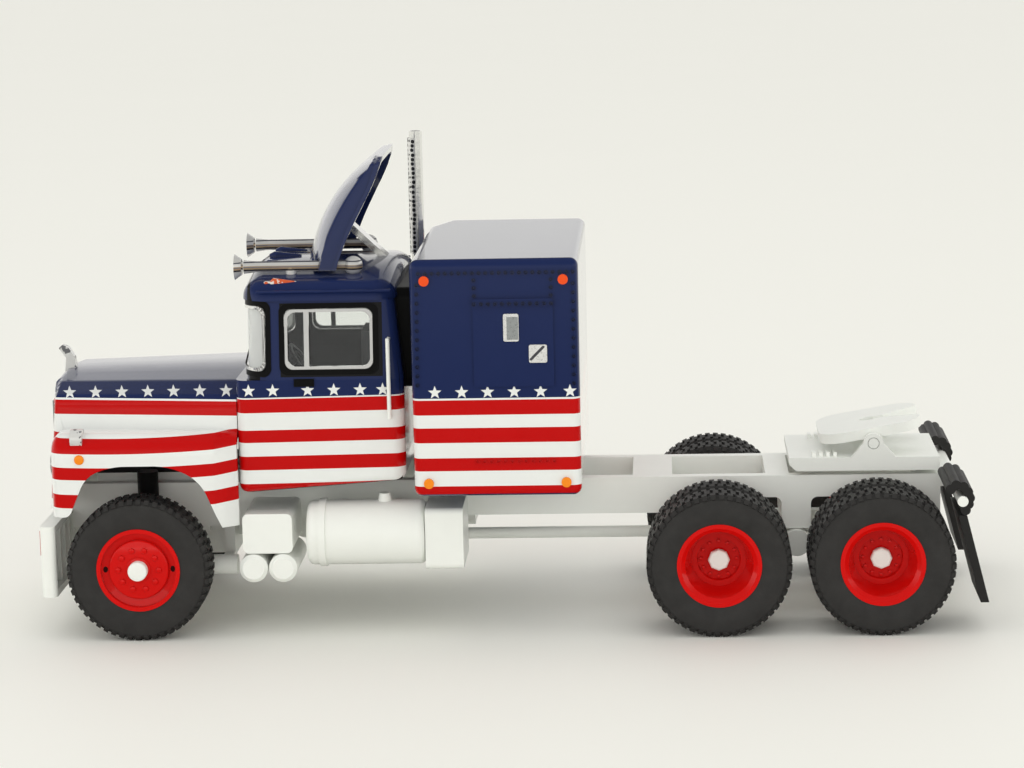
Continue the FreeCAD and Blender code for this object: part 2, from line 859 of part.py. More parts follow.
def prop_shaft():
    """The shaft from the gearbox to the first drive axle."""
    start = hood_front + at.engine_setback + at.engine_length + at.gearbox_length
    length = at.drive_axle_x - at.diff_radius - start
    return node("prop_shaft", rod("shaft_tube", "x", (start, zero, at.wheel_radius), length, at.shaft_radius))


# Hood, grille, lamps and bumper

def bonnet_wire(x, half, crease_half, crease, top, inset):
    """The bonnet's section: upright sides, round shoulders, sloping flanks and a crowned top."""
    side = half - inset
    low = at.fender_rear_tip.amount - abs(inset)
    shoulder = at.hood_shoulder.amount - inset
    fold = at.hood_crease_round.amount - inset
    side_top = at.hood_side_top.amount - inset
    corners = [(-side, low, 0), (side, low, 0), (side, side_top, shoulder),
               (crease_half, crease - inset, fold), (0, top - inset, at.hood_crown.amount - inset),
               (-crease_half, crease - inset, fold), (-side, side_top, shoulder)]
    return curved_wire(corners, lambda a, b: FreeCAD.Vector(x, a, b))


def fender_wire(x, half, inset):
    """The fenders' section across the truck, as one wide form with round shoulders."""
    side = half - inset
    low = at.fender_rear_tip.amount - abs(inset)
    top = at.fender_top.amount - inset
    crown = at.fender_shoulder.amount - inset
    base = max(at.seat_gap.amount, inset)
    corners = [(-side, low, base), (side, low, base), (side, top, crown), (-side, top, crown)]
    return curved_wire(corners, lambda a, b: FreeCAD.Vector(x, a, b))


def soft_nose(shape, front, radius):
    """Rounds the edges of a form's flat front face."""
    edges = [edge for edge in shape.Edges if all(abs(v.X - front) < TINY for v in edge.Vertexes)]
    return shape.makeFillet(radius, edges)


def hood_form(inset):
    """The hood and fenders as one solid form, drawn in by an inset."""
    front = hood_front.amount + inset
    rear = cab_front.amount
    taper = rear - at.fender_taper.amount
    half = at.fender_half.amount
    nose = bonnet_front.amount + inset
    bonnet = loft([bonnet_wire(nose, at.hood_front_half.amount, at.hood_front_crease_half.amount,
                               at.hood_front_crease.amount, at.hood_front_top.amount, inset),
                   bonnet_wire(rear, at.hood_rear_half.amount, at.hood_rear_crease_half.amount,
                               at.hood_rear_crease.amount, at.hood_rear_top.amount, inset)])
    wings = loft([fender_wire(front, half, inset), fender_wire(taper, half, inset),
                  fender_wire(rear, at.fender_rear_half.amount, inset)])
    bonnet = soft_nose(bonnet, nose, at.bonnet_round.amount - inset)
    return bonnet.fuse(soft_nose(wings, front, at.nose_round.amount - inset))


def arch_cutter():
    """The outline of both wheel arches, with the slopes of the fender's tips."""
    x = at.front_axle_x
    low = at.fender_rear_tip - at.overrun
    top = at.arch_top
    corner = at.arch_corner
    front_tip = hood_front + at.fender_front_foot
    rear_tip = cab_front - at.fender_rear_foot
    points = [(front_tip, low), (front_tip, at.fender_front_tip),
              (x - at.arch_flat_half - corner / 2, top - corner / 3),
              (x - at.arch_flat_half + corner / 3, top), (x + at.arch_flat_half, top),
              (x + at.arch_flat_half + corner, top - corner / 2), (rear_tip, at.fender_rear_tip),
              (rear_tip, low)]
    wide = at.fender_half + at.overrun
    return prism("arch_cut", "y", points, -wide, wide)


def hood():
    """The open shell of the hood, with its wheel arches and grille opening cut out."""
    shell = cut("hood_shell", formed("hood_outside", hood_form(0)),
                formed("hood_inside", hood_form(at.wall.amount)))
    wide = at.fender_half + at.overrun
    low = at.fender_rear_tip - at.overrun
    ahead = hood_front - at.overrun
    under = block("under_cut", (ahead, at.front_axle_x), (-wide, wide), (low, at.fender_front_tip))
    grille_gap = block("grille_cut", (ahead, hood_front + at.wall * 2), (-at.grille_half, at.grille_half),
                       (at.grille_bottom, at.grille_top))
    notch = at.rail_outer + at.seat_gap
    rails = block("rail_notch", (ahead, hood_front + at.overrun), (-notch, notch),
                  (low, at.rail_top + at.seat_gap))
    return node("hood", cut("hood", shell, arch_cutter(), under, grille_gap, rails))


GRILLE_BARS = 7


def grille():
    """A frame with level bars that stands in the hood's front opening."""
    front = bonnet_front + at.seat_gap
    half = at.grille_half - at.seat_gap
    low = at.grille_bottom + at.seat_gap
    high = at.grille_top - at.seat_gap
    edge = at.grille_frame
    panel = block("grille_panel", (front, front + at.wall), (-half, half), (low, high))
    window = block("grille_window", (front - at.overrun, front + at.overrun), (edge - half, half - edge),
                   (low + edge, high - edge))
    pieces = [cut("grille_surround", panel, window)]
    pitch = (high - low - edge * 2) / (GRILLE_BARS + 1)
    for number in range(1, GRILLE_BARS + 1):
        z = low + edge + pitch * number
        pieces.append(block(f"grille_bar_{number}", (front + at.seat_gap, front + at.wall - at.seat_gap),
                            (edge / 2 - half, half - edge / 2),
                            (z - at.grille_bar / 2, z + at.grille_bar / 2)))
    return node("grille", joined("grille", pieces))


def headlamps():
    """Round lamps in the front faces of the fenders."""
    front = hood_front - at.headlamp_proud
    lamp = rod("headlamp_lens", "x", (front, -at.headlamp_y, at.headlamp_z),
               at.headlamp_proud - at.seat_gap / 5,
               at.headlamp_radius)
    return node("headlamps", both_sides("headlamps", lamp))


def fender_lamps():
    """Plated lamps that stand on the shoulders of the fenders."""
    front = hood_front + at.lamp_setback - at.lamp_length / 2
    bucket = rod("lamp_bucket", "x", (front, -at.lamp_y, at.lamp_z), at.lamp_length, at.lamp_radius)
    seat = formed("lamp_seat", hood_form(-at.seat_gap.amount / 5))
    return node("fender_lamps", both_sides("fender_lamps", cut("fender_lamp_left", bucket, seat)))


BUMPER_RIBS = 11


def bumper():
    """A deep channel bumper, ribbed behind, with its ends turned back."""
    front = hood_front - at.bumper_reach
    rear = front + at.bumper_depth
    half = at.bumper_half
    solid = block("bumper_solid", (front, rear), (-half, half), (at.bumper_bottom, at.bumper_top))
    soft = rounded("bumper_soft", solid, at.bumper_corner, along("z"))
    low = at.bumper_bottom + at.wall
    high = at.bumper_top - at.wall
    inside = block("bumper_inside", (front + at.wall, rear + at.overrun), (at.wall - half, half - at.wall),
                   (low, high))
    pieces = [cut("bumper_channel", soft, inside)]
    pitch = half * 2 / (BUMPER_RIBS + 1)
    thick = at.wall / 4
    for number in range(1, BUMPER_RIBS + 1):
        y = pitch * number - half
        pieces.append(block(f"bumper_rib_{number}", (front + at.wall / 2, rear - at.wall / 2),
                            (y - thick, y + thick),
                            (low - at.wall / 2, high + at.wall / 2)))
    return node("bumper", joined("bumper", pieces))


# Points of the fin, along and up from the nose's top edge, as shares of its height
ORNAMENT_SHARES = ((-0.67, 1.0), (-0.55, 0.82), (-0.32, 0.5), (-0.42, -0.5), (0.22, -0.1),
                   (0.12, 0.55), (-0.2, 1.05), (-0.5, 1.16))


def hood_ornament():
    """A plain swept fin on the nose of the hood."""
    tall = at.ornament_height
    foot = bonnet_front + at.bonnet_round
    points = [(foot + tall * run_share, at.hood_front_top + tall * rise_share)
              for run_share, rise_share in ORNAMENT_SHARES]
    fin = prism("ornament_fin", "y", points, -at.ornament_half, at.ornament_half)
    return node("hood_ornament",
                cut("hood_ornament", fin, formed("ornament_seat", hood_form(-at.seat_gap.amount / 5))))


# Cab

def cab_form(inset, soft_sill=False):
    """The cab's outer form, drawn in by an inset: a body with a rising sill, and its glasshouse."""
    front = cab_front.amount + inset
    rear = cab_rear.amount - inset
    screen = front + at.screen_setback.amount
    roof_rear = rear - at.cab_roof_lean.amount
    corner = max(at.cab_corner.amount - inset, inset)
    screen_corner = at.cab_screen_corner.amount - inset
    belt_half = at.cab_belt_half.amount - inset
    ledge = at.cab_belt.amount - inset
    sill = at.cab_bottom.amount + inset
    rise = at.cab_sill_rise.amount
    body = loft([plan_wire(front, rear, at.cab_half.amount - inset, corner, corner, sill, rise),
                 plan_wire(front, rear, belt_half, corner, corner, ledge)])
    if soft_sill:
        edges = [edge for edge in body.Edges if all(v.Z < sill + rise + TINY for v in edge.Vertexes)]
        body = body.makeFillet(at.cab_sill_round.amount, edges)
    eave_half = at.cab_eave_half.amount - inset
    glasshouse = loft([plan_wire(screen, rear, belt_half, screen_corner, corner, ledge),
                       plan_wire(screen, roof_rear, eave_half, screen_corner, corner, at.cab_eave.amount)])
    return body.fuse(glasshouse)


def roof_form(inset):
    """The crowned roof above its rim, with soft edges, drawn in by an inset."""
    lip = at.roof_lip.amount - inset
    front = cab_front.amount + at.screen_setback.amount - lip
    rear = cab_rear.amount - at.cab_roof_lean.amount + lip
    half = at.cab_eave_half.amount + lip
    low = at.cab_eave.amount
    high = roof_top.amount - inset
    crown = at.roof_crown.amount - inset
    side = high - crown + math.sqrt(crown ** 2 - half ** 2)
    corners = [FreeCAD.Vector(front, y, z)
               for y, z in ((-half, low), (half, low), (half, side), (-half, side))]
    low_left, low_right, high_right, high_left = corners
    edges = [Part.LineSegment(low_left, low_right), Part.LineSegment(low_right, high_right),
             Part.Arc(high_right, FreeCAD.Vector(front, 0, high), high_left),
             Part.LineSegment(high_left, low_left)]
    section = Part.Face(Part.Wire([edge.toShape() for edge in edges]))
    crowned = section.extrude(FreeCAD.Vector(rear - front, 0, 0))
    plan = plan_wire(front, rear, half, at.cab_screen_corner.amount - inset, at.roof_corner.amount - inset,
                     low)
    form = crowned.common(Part.Face(plan).extrude(FreeCAD.Vector(0, 0, high - low)))
    if inset < at.roof_round.amount - inset:
        rim = [edge for edge in form.Edges if edge.BoundBox.ZMin > side - TINY
               and edge.BoundBox.ZMax < high + TINY]
        form = form.makeFillet(at.roof_round.amount - inset, rim)
    return form


def roof_height(y):
    """The height of the crowned roof at a station across the truck."""
    crown = at.roof_crown.amount
    drop = f"(Sizes.roof_crown - sqrt(Sizes.roof_crown ^ 2 - ({y.formula}) ^ 2))"
    return roof_top - Size(crown - math.sqrt(crown ** 2 - y.amount ** 2), drop)


def side_window_cut(name, grow):
    """The door window's outline through both sides of the cab."""
    wide = at.cab_half + at.overrun
    front = cab_front + at.door_window_setback
    opening = block(name, (front - grow, front + at.door_window_length + grow), (-wide, wide),
                    (at.door_window_bottom - grow, at.door_window_top + grow))
    return rounded(name + "_soft", opening, at.window_corner, along("y"))


def screen_cut(name, grow):
    """The windscreen's outline, which wraps round both front corners."""
    wide = at.cab_half + at.overrun
    wrap = cab_front + at.screen_wrap
    opening = block(name, (cab_front - at.overrun, wrap + grow), (-wide, wide),
                    (at.screen_bottom - grow, at.screen_top + grow))
    return rounded(name + "_soft", opening, at.window_corner, along("y"))


def shared(name, piece, tool):
    """What two pieces have in common."""
    common = doc.addObject("Part::Common", name)
    common.Base = piece
    common.Tool = tool
    return common


def cab_skin(name, outer_inset, inner_inset):
    """A thin skin that follows the cab's form."""
    return formed(name, cab_form(outer_inset.amount).cut(cab_form(inner_inset.amount)))


def cab_shell():
    """The cab's body and roof, hollow, with its windows cut."""
    outside = formed("cab_outside", cab_form(0, True).fuse(roof_form(0)))
    inside = formed("cab_inside", cab_form(at.wall.amount).fuse(roof_form(at.wall.amount)))
    windows = [side_window_cut("side_cut", zero), screen_cut("screen_cut", zero)]
    return node("cab_shell", cut("cab_shell", outside, inside, *windows))


def glazing():
    """The windscreen and the door panes, cut from one skin."""
    setback = at.wall / 4
    skin = cab_skin("glass_skin", setback, setback + at.skin)
    node("windscreen", shared("windscreen_pane", skin, screen_cut("screen_pane", -at.seat_gap)))
    node("door_windows", shared("door_panes", skin, side_window_cut("side_pane", -at.seat_gap)))


def window_gaskets():
    """Raised rubber surrounds on the cab's skin, round every window."""
    skin = cab_skin("gasket_skin", -at.gasket_proud, -at.seat_gap / 10)
    rings = []
    for name, outline in (("side", side_window_cut), ("screen", screen_cut)):
        band = shared(f"{name}_gasket_band", skin, outline(f"{name}_gasket_outside", at.gasket_width))
        rings.append(cut(f"{name}_gasket", band, outline(f"{name}_gasket_inside", zero)))
    return node("window_gaskets", group("window_gaskets", rings))


def window_trims():
    """Bright frames in the window openings, with a vent bar across each door's."""
    skin = cab_skin("trim_skin", -at.trim_proud, at.wall / 4 - at.seat_gap / 5)
    frames = []
    for name, outline in (("side", side_window_cut), ("screen", screen_cut)):
        band = shared(f"{name}_trim_band", skin, outline(f"{name}_trim_outside", -at.seat_gap))
        frames.append(cut(f"{name}_trim", band, outline(f"{name}_trim_inside", -at.seat_gap - at.trim_width)))
    wide = at.cab_half + at.overrun
    bar_x = cab_front + at.door_window_setback + at.vent_bar_setback
    bar_block = block("vent_bar_block", (bar_x - at.trim_width / 2, bar_x + at.trim_width / 2), (-wide, wide),
                      (at.door_window_bottom + at.seat_gap * 2, at.door_window_top - at.seat_gap * 2))
    bars = shared("vent_bars", skin, bar_block)
    side, screen = frames
    return node("window_trims", group("window_trims", [joined("side_trim_bars", [side, bars]), screen]))


def door_handles():
    """A flat grip on each door, under its window."""
    front = cab_front + at.door_handle_setback
    grip = block("handle_grip", (front, front + at.door_handle_length),
                 (-at.cab_belt_half - at.skin / 2, -at.cab_belt_half + at.overrun),
                 (at.door_handle_bottom, at.door_handle_bottom + at.door_handle_height))
    seat = formed("handle_seat", cab_form(-at.seat_gap.amount / 5))
    return node("door_handles", both_sides("door_handles", cut("handle_left", grip, seat)))


def grab_rails():
    """An upright rail behind each door, on two legs."""
    x = cab_rear - at.grab_rail_inset
    y = -at.cab_belt_half - at.grab_rail_stand
    pieces = [rod("grab_bar", "z", (x, y, at.grab_rail_bottom), at.grab_rail_top - at.grab_rail_bottom,
                  at.grab_rail_radius)]
    for name, z in (("low", at.grab_rail_bottom + at.grab_rail_radius),
                    ("high", at.grab_rail_top - at.grab_rail_radius)):
        pieces.append(rod(f"grab_leg_{name}", "y", (x, y, z), at.grab_rail_stand + at.overrun,
                          at.grab_rail_radius))
    seat = formed("grab_seat", cab_form(-at.seat_gap.amount / 5))
    return node("grab_rails",
                both_sides("grab_rails", cut("grab_rail_left", joined("grab_whole", pieces), seat)))


def cab_interior():
    """Floor, seats and dashboard, one moulding."""
    side = at.cab_half - at.wall - at.cab_corner
    low = at.cab_bottom + at.cab_sill_rise + at.wall + at.seat_gap
    front = cab_front + at.wall + at.seat_gap
    rear = cab_rear - at.wall - at.cab_corner
    deck = low + at.wall * 2
    pieces = [block("cab_floor", (front + at.cab_corner, rear), (-side, side), (low, deck)),
              block("dashboard", (front, front + at.dash_depth), (-side, side),
                    (deck - at.wall, at.dash_top))]
    seat_front = cab_front + at.seat_setback - at.seat_depth / 2
    seat_rear = seat_front + at.seat_depth
    for name, y in (("driver", -at.seat_y), ("mate", at.seat_y)):
        ys = (y - at.seat_half, y + at.seat_half)
        pieces.append(block(f"seat_{name}", (seat_front, seat_rear), ys, (deck - at.wall, at.seat_height)))
        pieces.append(block(f"seat_back_{name}", (seat_rear - at.seat_back, seat_rear), ys,
                            (at.seat_height - at.wall, at.seat_back_top)))
    return node("cab_interior", joined("cab_interior", pieces))


def steering_wheel():
    """A rim with two spokes, on a column that leans towards the driver."""
    lean = math.radians(at.steering_tilt.amount)
    axis = FreeCAD.Vector(math.cos(lean), 0, math.sin(lean))
    x = cab_front + at.steering_setback
    centre = FreeCAD.Vector(x.amount, -at.seat_y.amount, at.steering_z.amount)
    thick = at.steering_rim.amount
    reach = at.steering_radius.amount
    outside = Part.makeCylinder(reach, thick, centre, axis)
    inside = Part.makeCylinder(reach - thick * 2, thick, centre, axis)
    level = FreeCAD.Vector(0, 1, 0)
    spokes = [Part.makeCylinder(thick / 2, (reach - thick) * 2,
                                centre + axis * (thick / 2) - way * (reach - thick), way)
              for way in (level, axis.cross(level))]
    dash_rear = cab_front + at.wall + at.dash_depth + at.seat_gap
    column_length = (x - dash_rear).amount / math.cos(lean) - thick * math.tan(lean)
    column = Part.makeCylinder(thick, column_length, centre + axis * (thick / 2), axis * -1)
    return node("steering_wheel", formed("steering_wheel", outside.cut(inside).multiFuse(spokes + [column])))


# Roof fittings and exhaust

def horn(name, lead):
    """One trumpet on the left of the roof, with its hollow mouth, bulb and two feet."""
    y = -at.horn_y
    z = roof_top + at.horn_rise
    mouth = cab_front - lead
    throat = mouth + at.horn_flare
    neck = throat + at.horn_taper
    rear = cab_front + at.horn_bulb_setback
    flare = cone(name + "_flare", "x", (mouth, y, z), at.horn_flare, at.horn_mouth_radius,
                 at.horn_throat_radius)
    taper = cone(name + "_taper", "x", (throat, y, z), at.horn_taper, at.horn_throat_radius,
                 at.horn_tube_radius)
    tube = rod(name + "_tube", "x", (neck, y, z), rear - neck, at.horn_tube_radius)
    bulb = ball(name + "_bulb", (rear, y, z), at.horn_bulb_radius)
    pieces = [flare, taper, tube, bulb]
    for end, x in (("front", cab_front + at.horn_foot_setback), ("rear", rear)):
        pieces.append(rod(f"{name}_foot_{end}", "z", (x, y, z - at.overrun), at.overrun, at.horn_tube_radius))
    hollow = cone(name + "_hollow", "x", (mouth - at.seat_gap, y, z), at.horn_flare + at.horn_taper,
                  at.horn_mouth_radius - at.seat_gap * 2, at.seat_gap * 2)
    seat = formed(name + "_seat", roof_form(-at.seat_gap.amount / 5))
    return cut(name, joined(name + "_whole", pieces), hollow, seat)


def air_horns():
    """A short trumpet on the left of the roof and a long one on the right."""
    long_horn = across("long_horn_across", horn("long_horn", at.long_horn_lead))
    return node("air_horns", group("air_horns", [horn("short_horn", at.short_horn_lead), long_horn]))


ROOF_LAMP_SHARES = (0.0, 0.42, 0.84)


def roof_lamps():
    """Long marker lamps across the front of the roof, flat where they sit."""
    start = cab_front + at.roof_lamp_setback
    radius = at.roof_lamp_radius
    lamps = []
    for number, share in enumerate(ROOF_LAMP_SHARES):
        y = at.cab_eave_half * share
        seat = roof_height(y - radius) + at.seat_gap / 5
        nose = cone(f"roof_lamp_nose_{number}", "x", (start, -y, seat), radius, radius / 2, radius)
        tail = cone(f"roof_lamp_tail_{number}", "x", (start + radius, -y, seat), at.roof_lamp_length - radius,
                    radius,
                    radius / 3)
        below = block(f"roof_lamp_below_{number}", (start - radius, start + at.roof_lamp_length + radius),
                      (-y - radius * 2, -y + radius * 2), (seat - radius * 2, seat))
        lamp = cut(f"roof_lamp_{number}", joined(f"roof_lamp_whole_{number}", [nose, tail]), below)
        lamps += [lamp, across(f"roof_lamp_far_{number}", lamp)] if share else [lamp]
    return node("roof_lamps", group("roof_lamps", lamps))


# Height, reach and depth of the deflector's levels, from its foot to its top
DEFLECTOR_SHARES = ((-0.02, -0.03, 0.92), (0.33, 0.28, 1.0), (0.73, 0.76, 0.86), (1.0, 0.98, 0.26))


def deflector_rear_line():
    """The places of the deflector's rear edge, seen from the side."""
    foot_x = cab_front + at.deflector_setback
    return [(foot_x + at.deflector_reach * reach_share, roof_top + at.deflector_rise * height_share)
            for height_share, reach_share, depth_share in DEFLECTOR_SHARES]


def deflector_form(inset, tail):
    """The deflector as a solid, drawn in by an inset and drawn out to the rear by a tail."""
    taper = at.deflector_half.amount - at.deflector_top_half.amount
    wires = []
    for (x, z), (height_share, reach_share, depth_share) in zip(deflector_rear_line(), DEFLECTOR_SHARES):
        height = z.amount
        half = at.deflector_half.amount - taper * height_share - inset
        edge = x.amount - at.deflector_side.amount * depth_share + inset
        nose = edge - at.deflector_bulge.amount * depth_share
        rear = x.amount + tail
        left, right = FreeCAD.Vector(edge, -half, height), FreeCAD.Vector(edge, half, height)
        rear_left, rear_right = FreeCAD.Vector(rear, -half, height), FreeCAD.Vector(rear, half, height)
        wires.append(Part.Wire([Part.LineSegment(rear_left, left).toShape(),
                                Part.Arc(left, FreeCAD.Vector(nose, 0, height), right).toShape(),
                                Part.LineSegment(right, rear_right).toShape(),
                                Part.LineSegment(rear_right, rear_left).toShape()]))
    return Part.makeLoft(wires, True, False).common(deflector_outline(inset))


def deflector_outline(inset):
    """The deflector's outline seen from the front, with its round top corners."""
    low = at.cab_eave.amount
    high = roof_top.amount + at.deflector_rise.amount - inset
    half = at.deflector_half.amount - inset
    base = at.seat_gap.amount
    crown = at.deflector_corner.amount - inset
    front = hood_front.amount
    corners = [(-half, low, base), (half, low, base), (half, high, crown), (-half, high, crown)]
    wire = curved_wire(corners, lambda a, b: FreeCAD.Vector(front, a, b))
    return Part.Face(wire).extrude(FreeCAD.Vector(-front * 2, 0, 0))


def wind_deflector():
    """A bowed shell that stands on the cab roof, open to the rear, with a bead round its rear edge."""
    rear_line = deflector_rear_line()
    band = rear_line + [(x - at.deflector_bead_width, z) for x, z in reversed(rear_line)]
    slab = prism("deflector_band", "y", band, -at.cab_half, at.cab_half)
    grown = formed("deflector_grown", deflector_form(-at.deflector_bead.amount, 0))
    bead = shared("deflector_bead", grown, slab)
    outside = formed("deflector_outside", deflector_form(0, 0))
    inside = formed("deflector_inside", deflector_form(at.deflector_wall.amount, at.overrun.amount))
    pass_radius = at.horn_tube_radius + at.seat_gap * 3
    horn_pass = rod("horn_pass", "x", (cab_front, -at.horn_y, roof_top + at.horn_rise), at.horn_bulb_setback,
                    pass_radius)
    seat = formed("deflector_seat", roof_form(-at.seat_gap.amount / 5))
    return node("wind_deflector",
                cut("wind_deflector", joined("deflector_whole", [outside, bead]), inside, horn_pass,
                                      across("horn_pass_far", horn_pass), seat))


def deflector_brace():
    """A flat strut from the rear of the roof up to the inside of the deflector's nose."""
    x = cab_rear - at.brace_setback
    z = roof_top - at.brace_sink
    end_x = x - at.brace_run
    end_z = z + at.brace_rise
    points = [(x, z), (end_x, end_z), (end_x, end_z - at.brace_depth), (x, z - at.brace_depth)]
    brace = prism("brace_bar", "y", points, -at.brace_width / 2, at.brace_width / 2)
    seats = roof_form(-at.seat_gap.amount / 5).fuse(deflector_form(0, 0).cut(
        deflector_form(at.deflector_wall.amount, at.overrun.amount)))
    return node("deflector_brace", cut("deflector_brace", brace, formed("brace_seats", seats)))


def cab_boot():
    """The soft sleeve between the cab's rear wall and the sleeper box."""
    half = at.boot_half
    wall = at.boot_wall
    front = cab_rear - at.cab_roof_lean - at.overrun
    sleeve = rounded("boot_sleeve", block("boot_outside", (front, sleeper_front), (-half, half),
                                          (at.boot_bottom, at.boot_top)), wall, along("x"))
    passage = block("boot_passage", (front - at.overrun, sleeper_front + at.overrun),
                    (wall - half, half - wall),
                    (at.boot_bottom + wall, at.boot_top - wall))
    seat = formed("boot_seat", cab_form(-at.seat_gap.amount / 5).fuse(roof_form(-at.seat_gap.amount / 5)))
    return node("cab_boot", cut("cab_boot", sleeve, passage, seat))


def exhaust_stack():
    """An upright pipe fed by a level run between the tank and the cab floor."""
    x = cab_rear - at.stack_setback
    run_z = at.tank_z + at.tank_radius + at.seat_gap + at.stack_run_radius
    foot = run_z - at.stack_radius
    pipe = rod("stack_pipe", "z", (x, at.stack_y, foot), at.stack_top - foot, at.stack_radius)
    bore = rod("stack_bore", "z", (x, at.stack_y, at.stack_top - at.stack_bore_depth),
               at.stack_bore_depth + at.overrun, at.stack_bore)
    run = rod("stack_elbow", "y", (x, at.rail_outer, run_z), at.stack_y - at.rail_outer, at.stack_run_radius)
    return node("exhaust_stack", cut("exhaust_stack", joined("stack_whole", [pipe, run]), bore))


def stack_guard():
    """A half-round guard on the front of the stack."""
    x = cab_rear - at.stack_setback
    top = at.stack_top - at.guard_drop
    low = top - at.guard_length
    inner = at.stack_radius + at.seat_gap / 5
    outer = inner + at.guard_skin
    sleeve = rod("guard_sleeve", "z", (x, at.stack_y, low), at.guard_length, outer)
    bore = rod("guard_bore", "z", (x, at.stack_y, low - at.overrun), at.guard_length + at.overrun * 2, inner)
    behind = block("guard_behind", (x, x + at.overrun), (at.stack_y - at.overrun, at.stack_y + at.overrun),
                   (low, top))
    return node("stack_guard", cut("stack_guard", sleeve, bore, behind))


# Sleeper box

def sleeper_form(name, inset):
    """The box in plan, with the corner beside the stack cut off."""
    front = sleeper_front + inset
    rear = sleeper_rear - inset
    half = at.sleeper_half - inset
    points = [(front, -half), (rear, -half), (rear, half), (front + at.stack_corner_run, half),
              (front, half - at.stack_corner_width)]
    return prism(name, "z", points, at.sleeper_bottom + inset, at.sleeper_top - inset)


def sleeper_box():
    outside = rounded("sleeper_outside", sleeper_form("sleeper_solid", zero), at.sleeper_round,
                      lambda edge: True)
    return node("sleeper_box", cut("sleeper_box", outside, sleeper_form("sleeper_inside", at.sleeper_wall)))


def side_panel(name, setback, length, zs, ys):
    """A thin panel on the sleeper's side, with rounded corners."""
    front = sleeper_front + setback
    panel = block(name, (front, front + length), ys, zs)
    return rounded(name + "_soft", panel, at.wall / 4, along("y"))


def sleeper_hatches():
    """The locker door on each side, under its drip ledge."""
    seat = -at.sleeper_half - at.seat_gap / 5
    door = side_panel("hatch_door", at.hatch_setback, at.hatch_length, (at.hatch_bottom, at.hatch_top),
                      (seat - at.hatch_proud, seat))
    ledge = side_panel("hatch_ledge", at.hatch_setback, at.hatch_length,
                       (at.hatch_top - at.seat_gap, at.hatch_top + at.ledge_height),
                       (seat - at.ledge_proud, seat))
    return node("sleeper_hatches", both_sides("sleeper_hatches", joined("hatch_left", [door, ledge])))


def sleeper_fittings():
    """The small window and the latch plate on each locker door."""
    seat = -at.sleeper_half - at.hatch_proud - at.seat_gap / 2
    ys = (seat - at.hatch_proud, seat)
    port = side_panel("port", at.port_setback, at.port_length, (at.port_bottom, at.port_top), ys)
    latch = side_panel("latch", at.latch_setback, at.latch_length, (at.latch_bottom, at.latch_top), ys)
    return node("sleeper_fittings", group("sleeper_fittings", [port, latch, across("port_far", port),
                                                               across("latch_far", latch)]))


def sleeper_lamps():
    """Round marker lamps at the corners of each side."""
    lamps = []
    seat = -at.sleeper_half - at.seat_gap / 5
    columns = (sleeper_front + at.marker_inset, sleeper_rear - at.marker_inset)
    rows = (at.sleeper_top - at.marker_drop, at.sleeper_bottom + at.marker_rise)
    for row, z in enumerate(rows):
        for column, x in enumerate(columns):
            lamp = rod(f"marker_{row}_{column}", "y", (x, seat - at.marker_proud, z), at.marker_proud,
                       at.marker_radius)
            lamps += [lamp, across(f"marker_far_{row}_{column}", lamp)]
    return node("sleeper_lamps", group("sleeper_lamps", lamps))


# Boxes and tanks on the frame

def battery_boxes():
    front = cab_front + at.battery_setback
    box = block("battery_solid", (front, front + at.battery_length), (-at.battery_face, -at.rail_outer),
                (at.battery_bottom, at.battery_top))
    return node("battery_boxes",
                both_sides("battery_boxes", rounded("battery_left", box, at.battery_round, along("y"))))


def air_tanks():
    """Two short tanks side by side under each battery box."""
    tanks = []
    radius = at.air_tank_radius
    z = at.battery_bottom - at.seat_gap - radius
    middle = cab_front + at.battery_setback + at.battery_length / 2
    length = at.air_tank_face - at.rail_outer
    for name, shift in (("front", -radius - at.seat_gap), ("rear", radius + at.seat_gap)):
        start = -at.air_tank_face
        end_cap = cone(f"air_cap_{name}", "y", (middle + shift, start, z), at.air_tank_round,
                       radius - at.air_tank_round, radius)
        barrel = rod(f"air_tank_{name}", "y", (middle + shift, start + at.air_tank_round, z),
                     length - at.air_tank_round, radius)
        tank = joined(f"air_tank_whole_{name}", [end_cap, barrel])
        tanks += [tank, across(f"air_tank_far_{name}", tank)]
    return node("air_tanks", group("air_tanks", tanks))


TANK_BRACKET_SHARES = (0.25, 0.75)


def fuel_tanks():
    """A long tank on each side, with its band, cap and brackets."""
    y = -at.tank_y
    front = cab_front + at.tank_setback
    barrel = rod("tank_barrel", "x", (front, y, at.tank_z), at.tank_length, at.tank_radius)
    soft = rounded("tank_soft", barrel, at.tank_round, lambda edge: edge.Curve.TypeId == "Part::GeomCircle")
    half_band = at.tank_band_width / 2
    pieces = [soft, rod("tank_band", "x", (front + at.tank_round * 2, y, at.tank_z), at.tank_band_width,
                        at.tank_radius + at.tank_band)]
    cap_x = front + at.tank_length - at.tank_cap_setback
    pieces.append(cone("tank_cap", "z", (cap_x, y, at.tank_z + at.tank_radius - at.tank_band),
                       at.tank_cap_height + at.tank_band, at.tank_cap_radius, at.tank_cap_top_radius))
    for number, share in enumerate(TANK_BRACKET_SHARES):
        x = front + at.tank_length * share
        pieces.append(block(f"tank_bracket_{number}", (x - half_band, x + half_band), (y, -at.rail_outer),
                            (at.tank_z + at.tank_band_width, at.tank_z + at.tank_band_width * 3)))
    return node("fuel_tanks", both_sides("fuel_tanks", joined("tank_left", pieces)))


def step_boxes():
    """A step box behind each tank."""
    front = cab_front + at.tank_setback + at.tank_length + at.seat_gap
    box = block("locker_solid", (front, front + at.locker_length), (-at.locker_face, -at.rail_outer),
                (at.locker_bottom, at.locker_top))
    return node("step_boxes",
                both_sides("step_boxes", rounded("locker_left", box, at.battery_round, along("x"))))


# Fifth wheel

SLIDER_TEETH = 4


